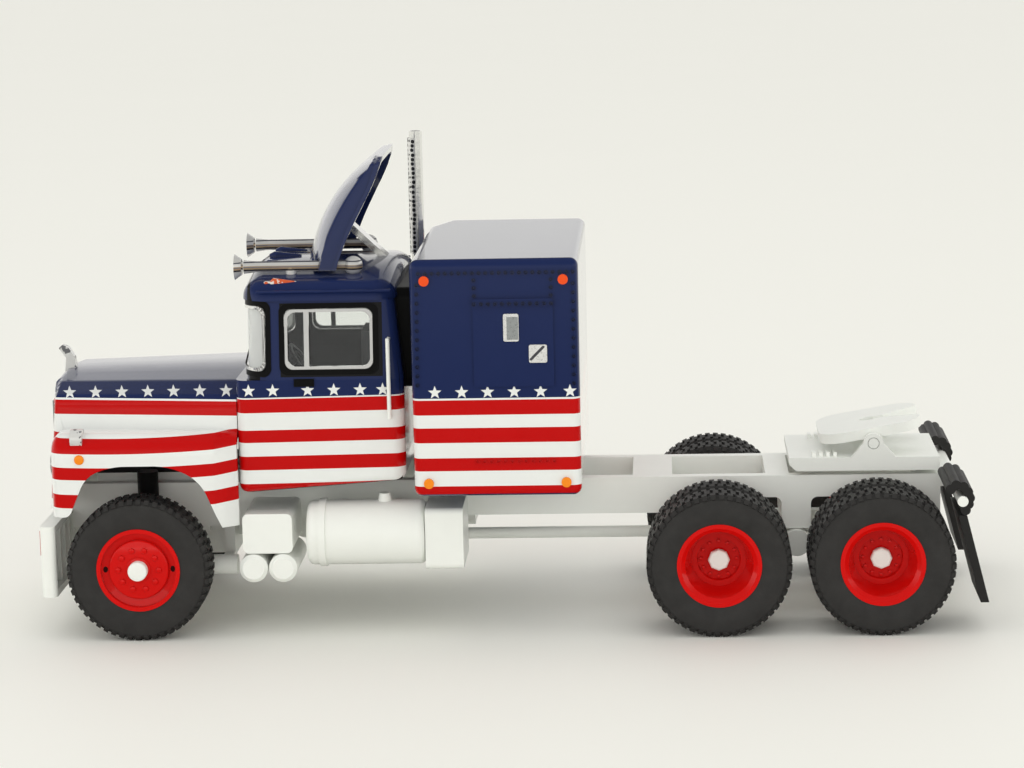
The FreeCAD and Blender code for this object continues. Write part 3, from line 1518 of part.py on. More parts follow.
def slider_base():
    """The slide on the frame that carries the coupling plate, with its teeth and pin brackets."""
    front = pivot_x - at.slider_front_reach
    rear = pivot_x + at.slider_rear_reach
    half = at.slider_half
    points = [(front, slider_top), (front, at.slider_bottom + at.wall), (front + at.wall, at.slider_bottom),
              (rear, at.slider_bottom), (rear, slider_top)]
    pieces = [prism("slider_plate", "y", points, -half, half)]
    pitch = at.wall
    for number in range(SLIDER_TEETH):
        x = front + at.cross_length + pitch * number
        for side, y in (("left", at.wall - half), ("right", half - at.wall * 3)):
            pieces.append(block(f"slider_tooth_{side}_{number}", (x, x + pitch / 2), (y, y + at.wall * 2),
                                (slider_top, slider_top + at.slider_tooth)))
    boss = at.pivot_boss
    for side, sign in (("left", -1), ("right", 1)):
        y = at.bracket_y * sign - at.bracket_width / 2
        ear = [(pivot_x - at.bracket_foot, slider_top), (pivot_x + at.bracket_foot, slider_top),
               (pivot_x + boss, pivot_z), (pivot_x - boss, pivot_z)]
        pieces.append(prism(f"bracket_{side}", "y", ear, y, y + at.bracket_width))
        pieces.append(rod(f"bracket_boss_{side}", "y", (pivot_x, y, pivot_z), at.bracket_width, boss))
    reach = half + at.overrun
    bore = rod("bracket_bore", "y", (pivot_x, -reach, pivot_z), reach * 2, at.pivot_radius + at.running_gap)
    return node("slider_base", cut("slider_base", joined("slider_whole", pieces), bore))


def fifth_wheel_plate():
    """The coupling plate with its throat, on a cross pin, tipped nose down."""
    low = pivot_z + at.plate_rise - at.plate_thickness
    inside = at.bracket_y - at.bracket_width / 2 - at.seat_gap * 3
    rear = pivot_x + at.plate_rear_reach
    plate = block("plate_solid", (pivot_x - at.plate_front_reach, rear), (-inside, inside),
                  (low, low + at.plate_thickness))
    soft = rounded("plate_soft", plate, at.plate_corner, along("z"))
    narrow = at.throat_width / 2
    mouth = at.throat_mouth / 2
    throat_x = pivot_x + at.kingpin_radius * 2
    behind = rear + at.overrun
    points = [(pivot_x, -narrow), (throat_x, -narrow), (rear, -mouth), (behind, -mouth), (behind, mouth),
              (rear, mouth), (throat_x, narrow), (pivot_x, narrow)]
    throat = prism("plate_throat", "z", points, low - at.overrun, low + at.overrun * 2)
    hole = rod("plate_kingpin", "z", (pivot_x, zero, low - at.overrun), at.overrun * 3, at.kingpin_radius)
    pieces = [cut("plate_deck", soft, throat, hole)]
    hub_inner = at.kingpin_radius * 3
    outside = at.bracket_y + at.bracket_width / 2
    hub = rod("plate_hub", "y", (pivot_x, -inside, pivot_z), inside - hub_inner, at.plate_hub_radius)
    pin = rod("plate_pin", "y", (pivot_x, -outside, pivot_z), outside - hub_inner, at.pivot_radius)
    pieces += [hub, pin, across("plate_hub_far", hub), across("plate_pin_far", pin)]
    whole = joined("plate_whole", pieces)
    doc.recompute()
    shape = whole.Shape.copy()
    pivot = FreeCAD.Vector(pivot_x.amount, 0, pivot_z.amount)
    shape.rotate(pivot, FreeCAD.Vector(0, 1, 0), -at.plate_tilt.amount)
    return node("fifth_wheel_plate", formed("fifth_wheel_plate", shape))


# Mud flaps

def flap_bar():
    """A tube across the tail, on a stay from the frame."""
    x = frame_rear + at.flap_bar_setback
    z = at.flap_bar_z
    radius = at.flap_bar_radius
    tube = rod("flap_tube", "y", (x, -at.flap_outer, z), at.flap_outer * 2, radius)
    stay = block("flap_stay", (frame_rear, x), (-at.rail_outer, at.rail_outer), (z - radius, z + radius))
    return node("flap_bar", joined("flap_bar", [tube, stay]))


# Places of the ribs, along and up, as shares of the head's bend and of its height above the flap
FLAP_RIB_SHARES = ((-1.35, 0.84), (-0.75, 1.0), (0.05, 0.93), (0.55, 0.72), (0.75, 0.48), (0.62, 0.24),
                   (0.3, 0.0))


def flap_heads():
    """The ribbed rubber bend that carries each flap on the bar."""
    x = frame_rear + at.flap_bar_setback
    rib = at.flap_head_rib
    low = at.flap_top + rib + at.seat_gap
    height = at.flap_head_top - rib - low
    width = at.flap_outer - at.flap_inner
    ribs = []
    for number, (run_share, rise_share) in enumerate(FLAP_RIB_SHARES):
        ribs.append(rod(f"flap_rib_{number}", "y", (x + at.flap_head_bend * run_share, -at.flap_outer,
                                                    low + height * rise_share), width, rib))
    bar = rod("flap_head_bore", "y", (x, -at.flap_outer - at.overrun, at.flap_bar_z), width + at.overrun * 2,
              at.flap_bar_radius + at.seat_gap)
    return node("flap_heads",
                both_sides("flap_heads", cut("flap_head_left", joined("flap_head_whole", ribs), bar)))


def mud_flaps():
    """Plain flaps that lean back to the rear."""
    thick = at.flap_thickness / 2
    top_x = frame_rear + at.flap_bar_setback
    foot_x = top_x + at.flap_lean
    points = [(top_x - thick, at.flap_top), (top_x + thick, at.flap_top), (foot_x + thick, at.flap_foot),
              (foot_x - thick, at.flap_foot)]
    flap = prism("flap_left", "y", points, -at.flap_outer, -at.flap_inner)
    return node("mud_flaps", both_sides("mud_flaps", flap))


def build():
    front_wheels()
    rear_wheels("one", at.drive_axle_x)
    rear_wheels("two", at.tail_axle_x)
    chassis_frame()
    engine()
    front_axle_beam()
    front_springs()
    front_shocks()
    steering_rods()
    walking_beams()
    axle_housing("one", at.drive_axle_x)
    axle_housing("two", at.tail_axle_x)
    trunnion_tube()
    prop_shaft()
    hood()
    grille()
    headlamps()
    fender_lamps()
    bumper()
    hood_ornament()
    cab_shell()
    glazing()
    window_gaskets()
    window_trims()
    door_handles()
    grab_rails()
    cab_interior()
    steering_wheel()
    air_horns()
    roof_lamps()
    wind_deflector()
    deflector_brace()
    cab_boot()
    exhaust_stack()
    stack_guard()
    sleeper_box()
    sleeper_hatches()
    sleeper_fittings()
    sleeper_lamps()
    battery_boxes()
    air_tanks()
    fuel_tanks()
    step_boxes()
    slider_base()
    fifth_wheel_plate()
    flap_bar()
    flap_heads()
    mud_flaps()


def write():
    """Checks every object, then writes each sub-part to its own file."""
    doc.recompute()
    for thing in doc.Objects:
        if "Invalid" in thing.State or "Error" in thing.State:
            raise RuntimeError(f"{thing.Label} failed: {thing.State}")
    for thing in sub_parts:
        if thing.Shape.isNull() or not thing.Shape.isValid():
            raise RuntimeError(f"{thing.Label} has no valid shape")
    for thing in sub_parts:
        thing.Shape.exportStep(f"parts/{thing.Label}.step")
        box = thing.Shape.BoundBox
        bounds = [round(v, 2) for v in (box.XMin, box.XMax, box.YMin, box.YMax, box.ZMin, box.ZMax)]
        print(thing.Label, len(thing.Shape.Solids), bounds)


build()
write()
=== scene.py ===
import math
from collections import namedtuple

import bpy
from bpy.props import FloatProperty, FloatVectorProperty, IntProperty, PointerProperty
from bpy.types import Operator, Panel, PropertyGroup
from mathutils import Matrix, Vector


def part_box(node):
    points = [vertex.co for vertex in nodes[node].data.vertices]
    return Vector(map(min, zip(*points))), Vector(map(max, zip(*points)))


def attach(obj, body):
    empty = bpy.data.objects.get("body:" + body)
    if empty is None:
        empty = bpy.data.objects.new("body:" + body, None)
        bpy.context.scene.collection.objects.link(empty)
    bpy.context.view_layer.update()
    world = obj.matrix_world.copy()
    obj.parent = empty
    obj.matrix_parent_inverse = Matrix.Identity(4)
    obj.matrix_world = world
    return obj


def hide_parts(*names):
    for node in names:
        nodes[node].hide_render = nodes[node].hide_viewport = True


bl_info = {
    "name": "Toy tractor unit",
    "version": (1, 0, 0),
    "blender": (4, 5, 0),
    "location": "View3D > Sidebar > Tractor",
    "description": "Dresses a small toy tractor unit: printed livery, treaded tyres, rivets and plated trim",
    "category": "Object",
}

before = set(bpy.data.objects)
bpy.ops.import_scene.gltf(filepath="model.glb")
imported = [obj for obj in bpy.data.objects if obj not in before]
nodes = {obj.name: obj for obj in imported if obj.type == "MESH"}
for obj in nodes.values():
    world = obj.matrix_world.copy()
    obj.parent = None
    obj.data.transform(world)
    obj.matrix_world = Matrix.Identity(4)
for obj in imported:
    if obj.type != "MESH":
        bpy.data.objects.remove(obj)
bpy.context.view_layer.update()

MM = 0.001
TAU = 2 * math.pi
MERGE = 1e-6    # vertices closer than this, in metres, are one


# Sizes and colours that a user would change

def colour(name, description, default):
    return FloatVectorProperty(name=name, description=description, default=default, size=3, min=0, max=1,
                               subtype="COLOR")


def length(name, description, millimetres):
    return FloatProperty(name=name, description=description, default=millimetres * MM, min=0, unit="LENGTH",
                         precision=5)


class LiveryColours(PropertyGroup):
    navy: colour("Navy", "Gloss navy of the hood, cab and sleeper box", (0.012, 0.022, 0.086))
    red: colour("Red", "Printed stripes", (0.53, 0.003, 0.003))
    white: colour("White", "Printed stripes and stars", (0.82, 0.84, 0.82))
    chassis: colour("Chassis", "Moulded white of the frame, tanks and bumper", (0.89, 0.91, 0.865))
    rim: colour("Rims", "Moulded red of the wheels", (0.66, 0.004, 0.003))
    rubber: colour("Rubber", "Tyres", (0.026, 0.025, 0.024))
    plating: colour("Plating", "Bright plated trim", (0.86, 0.86, 0.84))
    amber: colour("Amber", "Painted marker lamps", (0.95, 0.27, 0.01))


class TyreSizes(PropertyGroup):
    lugs: IntProperty(name="Lugs", description="Tread blocks round each tyre", default=52, min=12, max=90)
    depth: length("Tread depth", "Height of the tread lugs", 0.16)
    groove: length("Draft", "How far a lug stands back from its step", 0.02)


class RivetSizes(PropertyGroup):
    radius: length("Radius", "Outer radius of a ring rivet", 0.19)
    pitch: length("Pitch", "Distance between rivets in a row", 0.56)
    height: length("Height", "How far a rivet stands out", 0.13)


class StageSettings(PropertyGroup):
    key: FloatProperty(name="Key light", description="Strength of the large soft lamps", default=0.22, min=0)
    fill: FloatProperty(name="Fill light", description="Strength of the world's light", default=0.98, min=0)
    floor: colour("Floor", "Plain pale floor", (0.945, 0.945, 0.895))
    mirrored: colour("Mirrored floor", "How dark the near floor shows in glossy pieces", (0.11, 0.11, 0.1))
    lens: FloatProperty(name="Lens", description="Focal length of the camera", default=108.74, min=10,
                        subtype="DISTANCE_CAMERA")


# Selecting and shaping, as by hand

def fresh():
    """Goes back to object mode with nothing selected."""
    if bpy.context.mode != "OBJECT":
        bpy.ops.object.mode_set(mode="OBJECT")
    bpy.ops.object.select_all(action="DESELECT")


def only(*pieces):
    fresh()
    for piece in pieces:
        piece.select_set(True)
    bpy.context.view_layer.objects.active = pieces[0]


def choose(piece, kind, wanted):
    """Selects faces by their middle, or edges and vertices by their places, and stays in edit mode."""
    only(piece)
    bpy.ops.object.mode_set(mode="EDIT")
    bpy.ops.mesh.select_mode(type=kind)
    bpy.ops.mesh.select_all(action="DESELECT")
    bpy.ops.object.mode_set(mode="OBJECT")
    mesh = piece.data
    if kind == "FACE":
        for face in mesh.polygons:
            face.select = wanted(face.center)
    elif kind == "EDGE":
        for edge in mesh.edges:
            edge.select = all(wanted(mesh.vertices[i].co) for i in edge.vertices)
    else:
        for vertex in mesh.vertices:
            vertex.select = wanted(vertex.co)
    bpy.ops.object.mode_set(mode="EDIT")


def settle(piece, smooth=35):
    """Puts the piece's place in its mesh, turns its faces outwards and smooths it."""
    only(piece)
    bpy.ops.object.transform_apply(location=True, rotation=True, scale=True)
    bpy.ops.object.mode_set(mode="EDIT")
    bpy.ops.mesh.select_all(action="SELECT")
    bpy.ops.mesh.remove_doubles(threshold=MERGE)
    bpy.ops.mesh.normals_make_consistent(inside=False)
    bpy.ops.object.mode_set(mode="OBJECT")
    bpy.ops.object.shade_smooth_by_angle(angle=math.radians(smooth))
    return piece


def evened(piece):
    """Shading that follows the piece's large faces, so that its soft edges stay narrow."""
    only(piece)
    bpy.ops.object.modifier_add(type="WEIGHTED_NORMAL")
    modifier = piece.modifiers[-1]
    modifier.keep_sharp = True
    bpy.ops.object.modifier_apply(modifier=modifier.name)
    return piece


def named(name):
    piece = bpy.context.object
    piece.name = piece.data.name = name
    return piece


def joined(name, pieces):
    if len(pieces) > 1:
        only(*pieces)
        bpy.ops.object.join()
    else:
        only(pieces[0])
    return named(name)


def copied(piece, move=(0, 0, 0), mirror=False):
    """A copy with its own mesh, moved, or mirrored across the truck's middle."""
    only(piece)
    bpy.ops.object.duplicate()
    twin = bpy.context.object
    if mirror:
        twin.scale = (1, -1, 1)
    twin.location = Vector(twin.location) + Vector(move)
    bpy.ops.object.transform_apply(location=True, rotation=True, scale=True)
    if mirror:
        bpy.ops.object.mode_set(mode="EDIT")
        bpy.ops.mesh.select_all(action="SELECT")
        bpy.ops.mesh.normals_make_consistent(inside=False)
        bpy.ops.object.mode_set(mode="OBJECT")
    return twin


def both_sides(name, piece):
    """One settled piece of a left one and its mirrored copy."""
    twin = copied(piece, mirror=True)
    return settle(joined(name, [piece, twin]))


def duplicate_of(node, name):
    """A loose copy of a frame node's mesh, to be shaped and to stand for it."""
    piece = bpy.data.objects.new(name, bpy.data.meshes.new_from_object(nodes[node]))
    bpy.context.scene.collection.objects.link(piece)
    return piece


AXIS_TURNS = {"x": (0, math.pi / 2, 0), "y": (math.pi / 2, 0, 0), "z": (0, 0, 0)}


def cylinder(name, axis, place, radius, depth, sides=32, ends="NGON"):
    """A cylinder about a place, in millimetres."""
    fresh()
    bpy.ops.mesh.primitive_cylinder_add(vertices=sides, radius=radius * MM, depth=depth * MM,
                                        end_fill_type=ends, location=Vector(place) * MM,
                                        rotation=AXIS_TURNS[axis])
    bpy.ops.object.transform_apply(location=True, rotation=True, scale=True)
    return named(name)


def bar(name, low, high, soft):
    """A box between two corners in millimetres, with softened edges."""
    fresh()
    low, high = Vector(low), Vector(high)
    bpy.ops.mesh.primitive_cube_add(size=1, location=(low + high) / 2 * MM)
    piece = named(name)
    piece.scale = (high - low) * MM
    bpy.ops.object.transform_apply(location=True, rotation=True, scale=True)
    bpy.ops.object.mode_set(mode="EDIT")
    bpy.ops.mesh.select_all(action="SELECT")
    bpy.ops.mesh.bevel(offset=soft * MM, segments=2, affect="EDGES")
    bpy.ops.object.mode_set(mode="OBJECT")
    return piece


def ride(piece, body, slot, *materials):
    """Gives a finished piece its material and puts it on its body."""
    piece.data.materials.clear()
    for material in materials:
        piece.data.materials.append(material)
    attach(piece, body)
    return piece


def paint(material, *names):
    """Gives carried-over nodes one material."""
    for name in names:
        mesh = nodes[name].data
        if mesh.materials:
            mesh.materials[0] = material
        else:
            mesh.materials.append(material)


# Shader building

class Tree:
    """A short way to add and link shader nodes."""

    def __init__(self, tree):
        self.tree = tree

    def add(self, kind, inputs=None, **settings):
        item = self.tree.nodes.new(kind)
        for key, value in settings.items():
            setattr(item, key, value)
        for key, value in (inputs or {}).items():
            self.feed(item.inputs[key], value)
        return item

    def feed(self, socket, value):
        if isinstance(value, bpy.types.NodeSocket):
            self.tree.links.new(value, socket)
        else:
            socket.default_value = value

    def math(self, operation, *values, clamp=False):
        item = self.tree.nodes.new("ShaderNodeMath")
        item.operation = operation
        item.use_clamp = clamp
        for socket, value in zip(item.inputs, values):
            self.feed(socket, value)
        return item.outputs[0]

    def mix(self, factor, first, second):
        item = self.add("ShaderNodeMix", data_type="RGBA")
        self.feed(item.inputs[0], factor)
        self.feed(item.inputs[6], first)
        self.feed(item.inputs[7], second)
        return item.outputs[2]

    def group(self, group, **inputs):
        item = self.add("ShaderNodeGroup", node_tree=group)
        for key, value in inputs.items():
            self.feed(item.inputs[key], value)
        return item.outputs

    def scaled(self, vector, scale):
        item = self.add("ShaderNodeVectorMath", {0: vector, "Scale": scale}, operation="SCALE")
        return item.outputs[0]

    def place(self):
        """Object coordinates in millimetres."""
        return self.scaled(self.add("ShaderNodeTexCoord").outputs["Object"], 1 / MM)

    def axes(self, vector):
        return self.add("ShaderNodeSeparateXYZ", {0: vector}).outputs

    def noise(self, place, scale, detail):
        inputs = {"Vector": place, "Scale": scale, "Detail": detail}
        return self.add("ShaderNodeTexNoise", inputs).outputs["Fac"]

    def mapped(self, value, reach, result, **settings):
        """A value that runs from the first to the second result while it runs along its reach."""
        inputs = {"Value": value, "From Min": reach[0], "From Max": reach[1],
                  "To Min": result[0], "To Max": result[1]}
        return self.add("ShaderNodeMapRange", inputs, **settings).outputs["Result"]

    def within(self, value, low, high):
        return self.math("COMPARE", value, (low + high) / 2, (high - low) / 2)

    def panel(self, axes, limits):
        """A mask of an upright panel: low and high station, low and high height."""
        across = self.within(axes["X"], limits[0], limits[1])
        return self.math("MULTIPLY", across, self.within(axes["Z"], limits[2], limits[3]))

    def reach(self, first, second):
        """The length of two sides at right angles."""
        squares = (self.math("MULTIPLY", side, side) for side in (first, second))
        return self.math("SQRT", self.math("ADD", *squares))


def new_group(name, inputs, outputs):
    """An empty node group with its sockets, and its input and output nodes."""
    group = bpy.data.node_groups.new(name, "ShaderNodeTree")
    for key, kind, default in inputs:
        socket = group.interface.new_socket(name=key, in_out="INPUT", socket_type=kind)
        if default is not None:
            socket.default_value = default
    for key, kind in outputs:
        group.interface.new_socket(name=key, in_out="OUTPUT", socket_type=kind)
    tree = Tree(group)
    return group, tree, tree.add("NodeGroupInput").outputs, tree.add("NodeGroupOutput").inputs


STAR_POINTS = 5
STAR_SIZE = 0.58
STAR_VALLEY_SHARE = 0.42    # how far the valleys between the points lie from the middle
STAR_EDGE = 0.02            # width of the printed edge in millimetres


def star_group():
    """A mask of one star, standing on two points, by its middle and size in millimetres."""
    group, tree, given, out = new_group(
        "Printed star", [("Place", "NodeSocketVector", None), ("Middle X", "NodeSocketFloat", 0.0),
                         ("Middle Z", "NodeSocketFloat", 0.0), ("Size", "NodeSocketFloat", STAR_SIZE)],
        [("Mask", "NodeSocketFloat")])
    half_turn = math.pi / STAR_POINTS
    valley = (STAR_VALLEY_SHARE * math.sin(half_turn), STAR_VALLEY_SHARE * math.cos(half_turn))
    edge = math.hypot(1 - valley[1], valley[0])
    normal = ((1 - valley[1]) / edge, valley[0] / edge)
    axes = tree.axes(given["Place"])
    x = tree.math("SUBTRACT", axes["X"], given["Middle X"])
    z = tree.math("SUBTRACT", axes["Z"], given["Middle Z"])
    folded = tree.math("PINGPONG", tree.math("ARCTAN2", x, z), half_turn)
    across = tree.math("MULTIPLY", tree.math("SINE", folded), normal[0])
    along = tree.math("MULTIPLY", tree.math("COSINE", folded), normal[1])
    outside = tree.math("SUBTRACT", tree.math("MULTIPLY", tree.reach(x, z), tree.math("ADD", across, along)),
                        tree.math("MULTIPLY", given["Size"], normal[1]))
    mask = tree.math("SUBTRACT", 0.5, tree.math("DIVIDE", outside, STAR_EDGE), clamp=True)
    tree.feed(out["Mask"], mask)
    return group


def wear_group():
    """Slight blotches of colour and gloss, as on handled paint and plastic."""
    group, tree, given, out = new_group(
        "Handled finish", [("Place", "NodeSocketVector", None), ("Color", "NodeSocketColor", (1, 1, 1, 1)),
                           ("Roughness", "NodeSocketFloat", 0.3), ("Amount", "NodeSocketFloat", 0.1),
                           ("Scale", "NodeSocketFloat", 0.6)],
        [("Color", "NodeSocketColor"), ("Roughness", "NodeSocketFloat")])
    noise = tree.noise(given["Place"], given["Scale"], 4.0)
    noise.node.inputs["Roughness"].default_value = 0.6
    swing = tree.math("MULTIPLY", tree.math("SUBTRACT", noise, 0.5), given["Amount"])
    tree.feed(out["Color"], tree.scaled(given["Color"], tree.math("ADD", 1.0, swing)))
    tree.feed(out["Roughness"], tree.math("ADD", given["Roughness"], swing, clamp=True))
    return group


RIPPLE_DEPTH = 0.05 * MM    # of moulded plastic at full strength


def skin_group():
    """The faint ripple of moulded plastic or thick paint, as a normal."""
    group, tree, given, out = new_group(
        "Moulded skin", [("Place", "NodeSocketVector", None), ("Scale", "NodeSocketFloat", 2.0),
                         ("Strength", "NodeSocketFloat", 0.1)],
        [("Normal", "NodeSocketVector")])
    noise = tree.noise(given["Place"], given["Scale"], 3.0)
    inputs = {"Height": noise, "Strength": given["Strength"], "Distance": RIPPLE_DEPTH}
    bump = tree.add("ShaderNodeBump", inputs)
    tree.feed(out["Normal"], bump.outputs["Normal"])
    return group


GROUPS = {}


def effect(name):
    """An effect that several materials use, built when first asked for."""
    makers = {"star": star_group, "wear": wear_group, "skin": skin_group}
    if name not in GROUPS:
        GROUPS[name] = makers[name]()
    return GROUPS[name]


def opaque(tint):
    return (tint[0], tint[1], tint[2], 1.0)


def shader_of(tree, kind="BSDF_PRINCIPLED"):
    return next(item for item in tree.nodes if item.type == kind)


def material_tree(name):
    material = bpy.data.materials.new(name)
    material.use_nodes = True
    return material, Tree(material.node_tree), shader_of(material.node_tree)


COAT_ROUGHNESS = 0.04


def finish(name, tint, roughness, wear=0.08, grain=2.0, ripple=0.12, patches=0.5, metal=0.0, coat=0.0,
           specular=0.4, coat_ior=1.27):
    """A finish with slight blotches and a faint ripple; tint is a colour or a function of tree and place."""
    material, tree, shader = material_tree(name)
    place = tree.place()
    shade = tint(tree, place) if callable(tint) else opaque(tint)
    worn = tree.group(effect("wear"), Place=place, Color=shade, Roughness=roughness, Amount=wear,
                      Scale=patches)
    skin = tree.group(effect("skin"), Place=place, Scale=grain, Strength=ripple)
    tree.feed(shader.inputs["Base Color"], worn["Color"])
    tree.feed(shader.inputs["Roughness"], worn["Roughness"])
    tree.feed(shader.inputs["Normal"], skin["Normal"])
    shader.inputs["Metallic"].default_value = metal
    shader.inputs["Coat Weight"].default_value = coat
    shader.inputs["Coat Roughness"].default_value = COAT_ROUGHNESS
    shader.inputs["Coat IOR"].default_value = coat_ior
    shader.inputs["Specular IOR Level"].default_value = specular
    return material


def grey(value):
    return (value, value, value, 1.0)


def split_by_height(height, below, above):
    """A tint of two colours, one below a height in millimetres and one above it."""
    def two_tone(tree, place):
        higher = tree.math("GREATER_THAN", tree.axes(place)["Z"], height)
        return tree.mix(higher, opaque(below), opaque(above))
    return two_tone


def settings():
    return bpy.context.scene.tractor


# Livery

PRINT_LOW = 11.0    # heights between which the bands are printed, in millimetres
PRINT_HIGH = 21.0
ABOVE_ALL = 99.0    # a height that no piece reaches


def banded(tree, height, bands):
    """A colour by height: bands are (upper edge in millimetres, colour) from the lowest up."""
    ramp = tree.add("ShaderNodeValToRGB")
    ramp.color_ramp.interpolation = "CONSTANT"
    stops = ramp.color_ramp.elements
    edge = PRINT_LOW
    for number, (upper, tint) in enumerate(bands):
        share = (edge - PRINT_LOW) / (PRINT_HIGH - PRINT_LOW)
        stop = stops[number] if number < len(stops) else stops.new(share)
        stop.position = share
        stop.color = opaque(tint)
        edge = upper
    above = tree.math("SUBTRACT", height, PRINT_LOW)
    tree.feed(ramp.inputs["Fac"], tree.math("DIVIDE", above, PRINT_HIGH - PRINT_LOW, clamp=True))
    return ramp.outputs["Color"]


# Stations of the stars' middles, and their height
HOOD_STARS = (-37.43, -35.22, -32.98, -30.77, -28.59, -26.35, -24.12)
HOOD_STAR_HEIGHT = 20.88
CAB_STARS = (-22.05, -20.01, -17.07, -14.86, -12.65, -10.75)
CAB_STAR_HEIGHT = 21.02
SLEEPER_STARS = (-6.18, -3.95, -1.8, 0.4, 2.59, 5.02)
SLEEPER_STAR_HEIGHT = 21.15

# Upper edges of the printed bands in millimetres, from the ground up; r is red, w white and n navy
HOOD_BANDS = ((11.4, "w"), (12.6, "r"), (13.82, "w"), (14.9, "r"), (16.05, "w"), (17.28, "r"), (18.86, "w"),
              (20.08, "r"), (20.24, "w"), (PRINT_HIGH, "n"))
CAB_BANDS = ((12.32, "w"), (13.05, "r"), (14.21, "w"), (15.41, "r"), (16.57, "w"), (17.64, "r"), (19.1, "w"),
             (20.27, "r"), (20.4, "w"), (PRINT_HIGH, "n"))
SLEEPER_BANDS = ((12.5, "n"), (13.22, "r"), (14.5, "w"), (15.6, "r"), (16.87, "w"), (18.12, "r"),
                 (19.22, "w"), (20.47, "r"), (20.63, "w"), (PRINT_HIGH, "n"))
# How the stripes climb along the truck: up to a height, climb for each millimetre, from a station, and its bow
HOOD_CLIMB = ((18.0, 0.0205, -31.0, 0.0046), (ABOVE_ALL, -0.008, -31.0, 0.0))
CAB_CLIMB = ((ABOVE_ALL, 0.0124, -22.6, 0.0),)
SLEEPER_CLIMB = ()

# A hollow piece's inside is a tunnel along the truck with rounded upper corners. It narrows from a station
# on, leans in from a height up, and its top is crowned.
Tunnel = namedtuple("Tunnel", "low_x high_x half_width top corner narrow_x lean_z crown")
HOOD_INSIDE = Tunnel(-38.55, -23.25, 12.4, 17.2, 1.4, narrow_x=-25.0, lean_z=ABOVE_ALL, crown=0.0)
CAB_INSIDE = Tunnel(-22.1, -9.3, 11.05, 30.6, 1.3, narrow_x=0.0, lean_z=21.9, crown=0.0094)
NARROWING = 0.667   # for each millimetre along the truck
LEAN = 0.121        # for each millimetre of height
# Painted shade: the inner faces of the hood and cab are painted near black for the shade inside them
INSIDE_PAINTED_SHADE = (0.006, 0.006, 0.007, 1.0)
WINDOW_SURROUND = (-19.3, -10.7, 22.15, 28.3)    # low and high station, low and high height
SURROUND_TINT = (0.004, 0.004, 0.005, 1.0)

# The hood's print wraps over the shoulder from here, and leans towards a station as it goes inwards
WRAP_HALF_WIDTH = 10.0
WRAP_STATION = 12.6
WRAP_LENGTH = 257.6
WRAP_RISE = 0.17


def inside_of(tree, axes, tunnel):
    """A mask of the piece's inner faces, which are painted near black as painted shade."""
    def past(value, limit):
        return tree.math("MAXIMUM", tree.math("SUBTRACT", value, limit), 0.0)
    narrowing = tree.math("MULTIPLY", past(axes["X"], tunnel.narrow_x), NARROWING)
    lean = tree.math("MULTIPLY", past(axes["Z"], tunnel.lean_z), LEAN)
    wide = tree.math("ADD", tree.math("ADD", tree.math("ABSOLUTE", axes["Y"]), narrowing), lean)
    across = past(wide, tunnel.half_width - tunnel.corner)
    bow = tree.math("MULTIPLY", tree.math("MULTIPLY", axes["Y"], axes["Y"]), tunnel.crown)
    up = past(tree.math("ADD", axes["Z"], bow), tunnel.top - tunnel.corner)
    product = tree.math("LESS_THAN", tree.reach(across, up), tunnel.corner)
    station = tree.math("ADD", axes["X"], lean)
    for mask in (tree.math("GREATER_THAN", axes["X"], tunnel.low_x),
                 tree.math("LESS_THAN", station, tunnel.high_x)):
        product = tree.math("MULTIPLY", product, mask)
    return product


GLOSS_PAINT = {"wear": 0.05, "grain": 0.9, "ripple": 0.06, "coat": 1.0}


def leaning_print(tree, axes, half_width):
    """The place that a print has where it wraps over a shoulder, so that its stars keep their shape."""
    inward = tree.math("MAXIMUM", tree.math("SUBTRACT", half_width, tree.math("ABSOLUTE", axes["Y"])), 0.0)
    turn = tree.math("DIVIDE", inward, WRAP_LENGTH)
    along = tree.math("MULTIPLY", tree.math("SUBTRACT", WRAP_STATION, axes["X"]), turn)
    inputs = {"X": tree.math("ADD", axes["X"], along), "Y": axes["Y"],
              "Z": tree.math("MULTIPLY_ADD", inward, WRAP_RISE, axes["Z"])}
    return tree.add("ShaderNodeCombineXYZ", inputs).outputs[0]


def livery(name, bands, stars, star_height, climbs, inside=None, wrap=0.0, surround=None):
    """Gloss paint with printed stripes that climb along the truck, and stars above them.

    The wrap is the half width from which the print leans, and the surround is the black panel round a window.
    The inside gives the inner faces painted shade.
    """
    tints = settings().livery
    colours = {"r": tints.red, "w": tints.white, "n": tints.navy}

    def printed(tree, place):
        axes = tree.axes(place)
        height, below = axes["Z"], 0.0
        for top, slope, pivot, bow in climbs:
            here = tree.math("MULTIPLY", tree.math("GREATER_THAN", axes["Z"], below),
                             tree.math("LESS_THAN", axes["Z"], top))
            along = tree.math("SUBTRACT", axes["X"], pivot)
            climb = tree.math("MULTIPLY", along, tree.math("MULTIPLY_ADD", along, bow, slope))
            height = tree.math("SUBTRACT", height, tree.math("MULTIPLY", climb, here))
            below = top
        base = banded(tree, height, [(upper, colours[key]) for upper, key in bands])
        star_place = leaning_print(tree, axes, wrap) if wrap else place
        mask = 0.0
        for middle in stars:
            single = tree.group(effect("star"), Place=star_place, Size=STAR_SIZE,
                                **{"Middle X": middle, "Middle Z": star_height})
            mask = tree.math("MAXIMUM", mask, single["Mask"])
        outer = tree.mix(mask, base, opaque(tints.white))
        if inside:
            # Painted shade on the inner faces
            outer = tree.mix(inside_of(tree, axes, inside), outer, INSIDE_PAINTED_SHADE)
        if surround:
            outer = tree.mix(tree.panel(axes, surround), outer, SURROUND_TINT)
        return outer
    film = finish(name, printed, 0.2, specular=0.15, **GLOSS_PAINT)
    if inside:
        # The painted shade inside is matt: it has no coat
        tree = Tree(film.node_tree)
        shaded_inside = inside_of(tree, tree.axes(tree.place()), inside)
        tree.feed(shader_of(film.node_tree).inputs["Coat Weight"], tree.math("SUBTRACT", 1.0, shaded_inside))
    return film


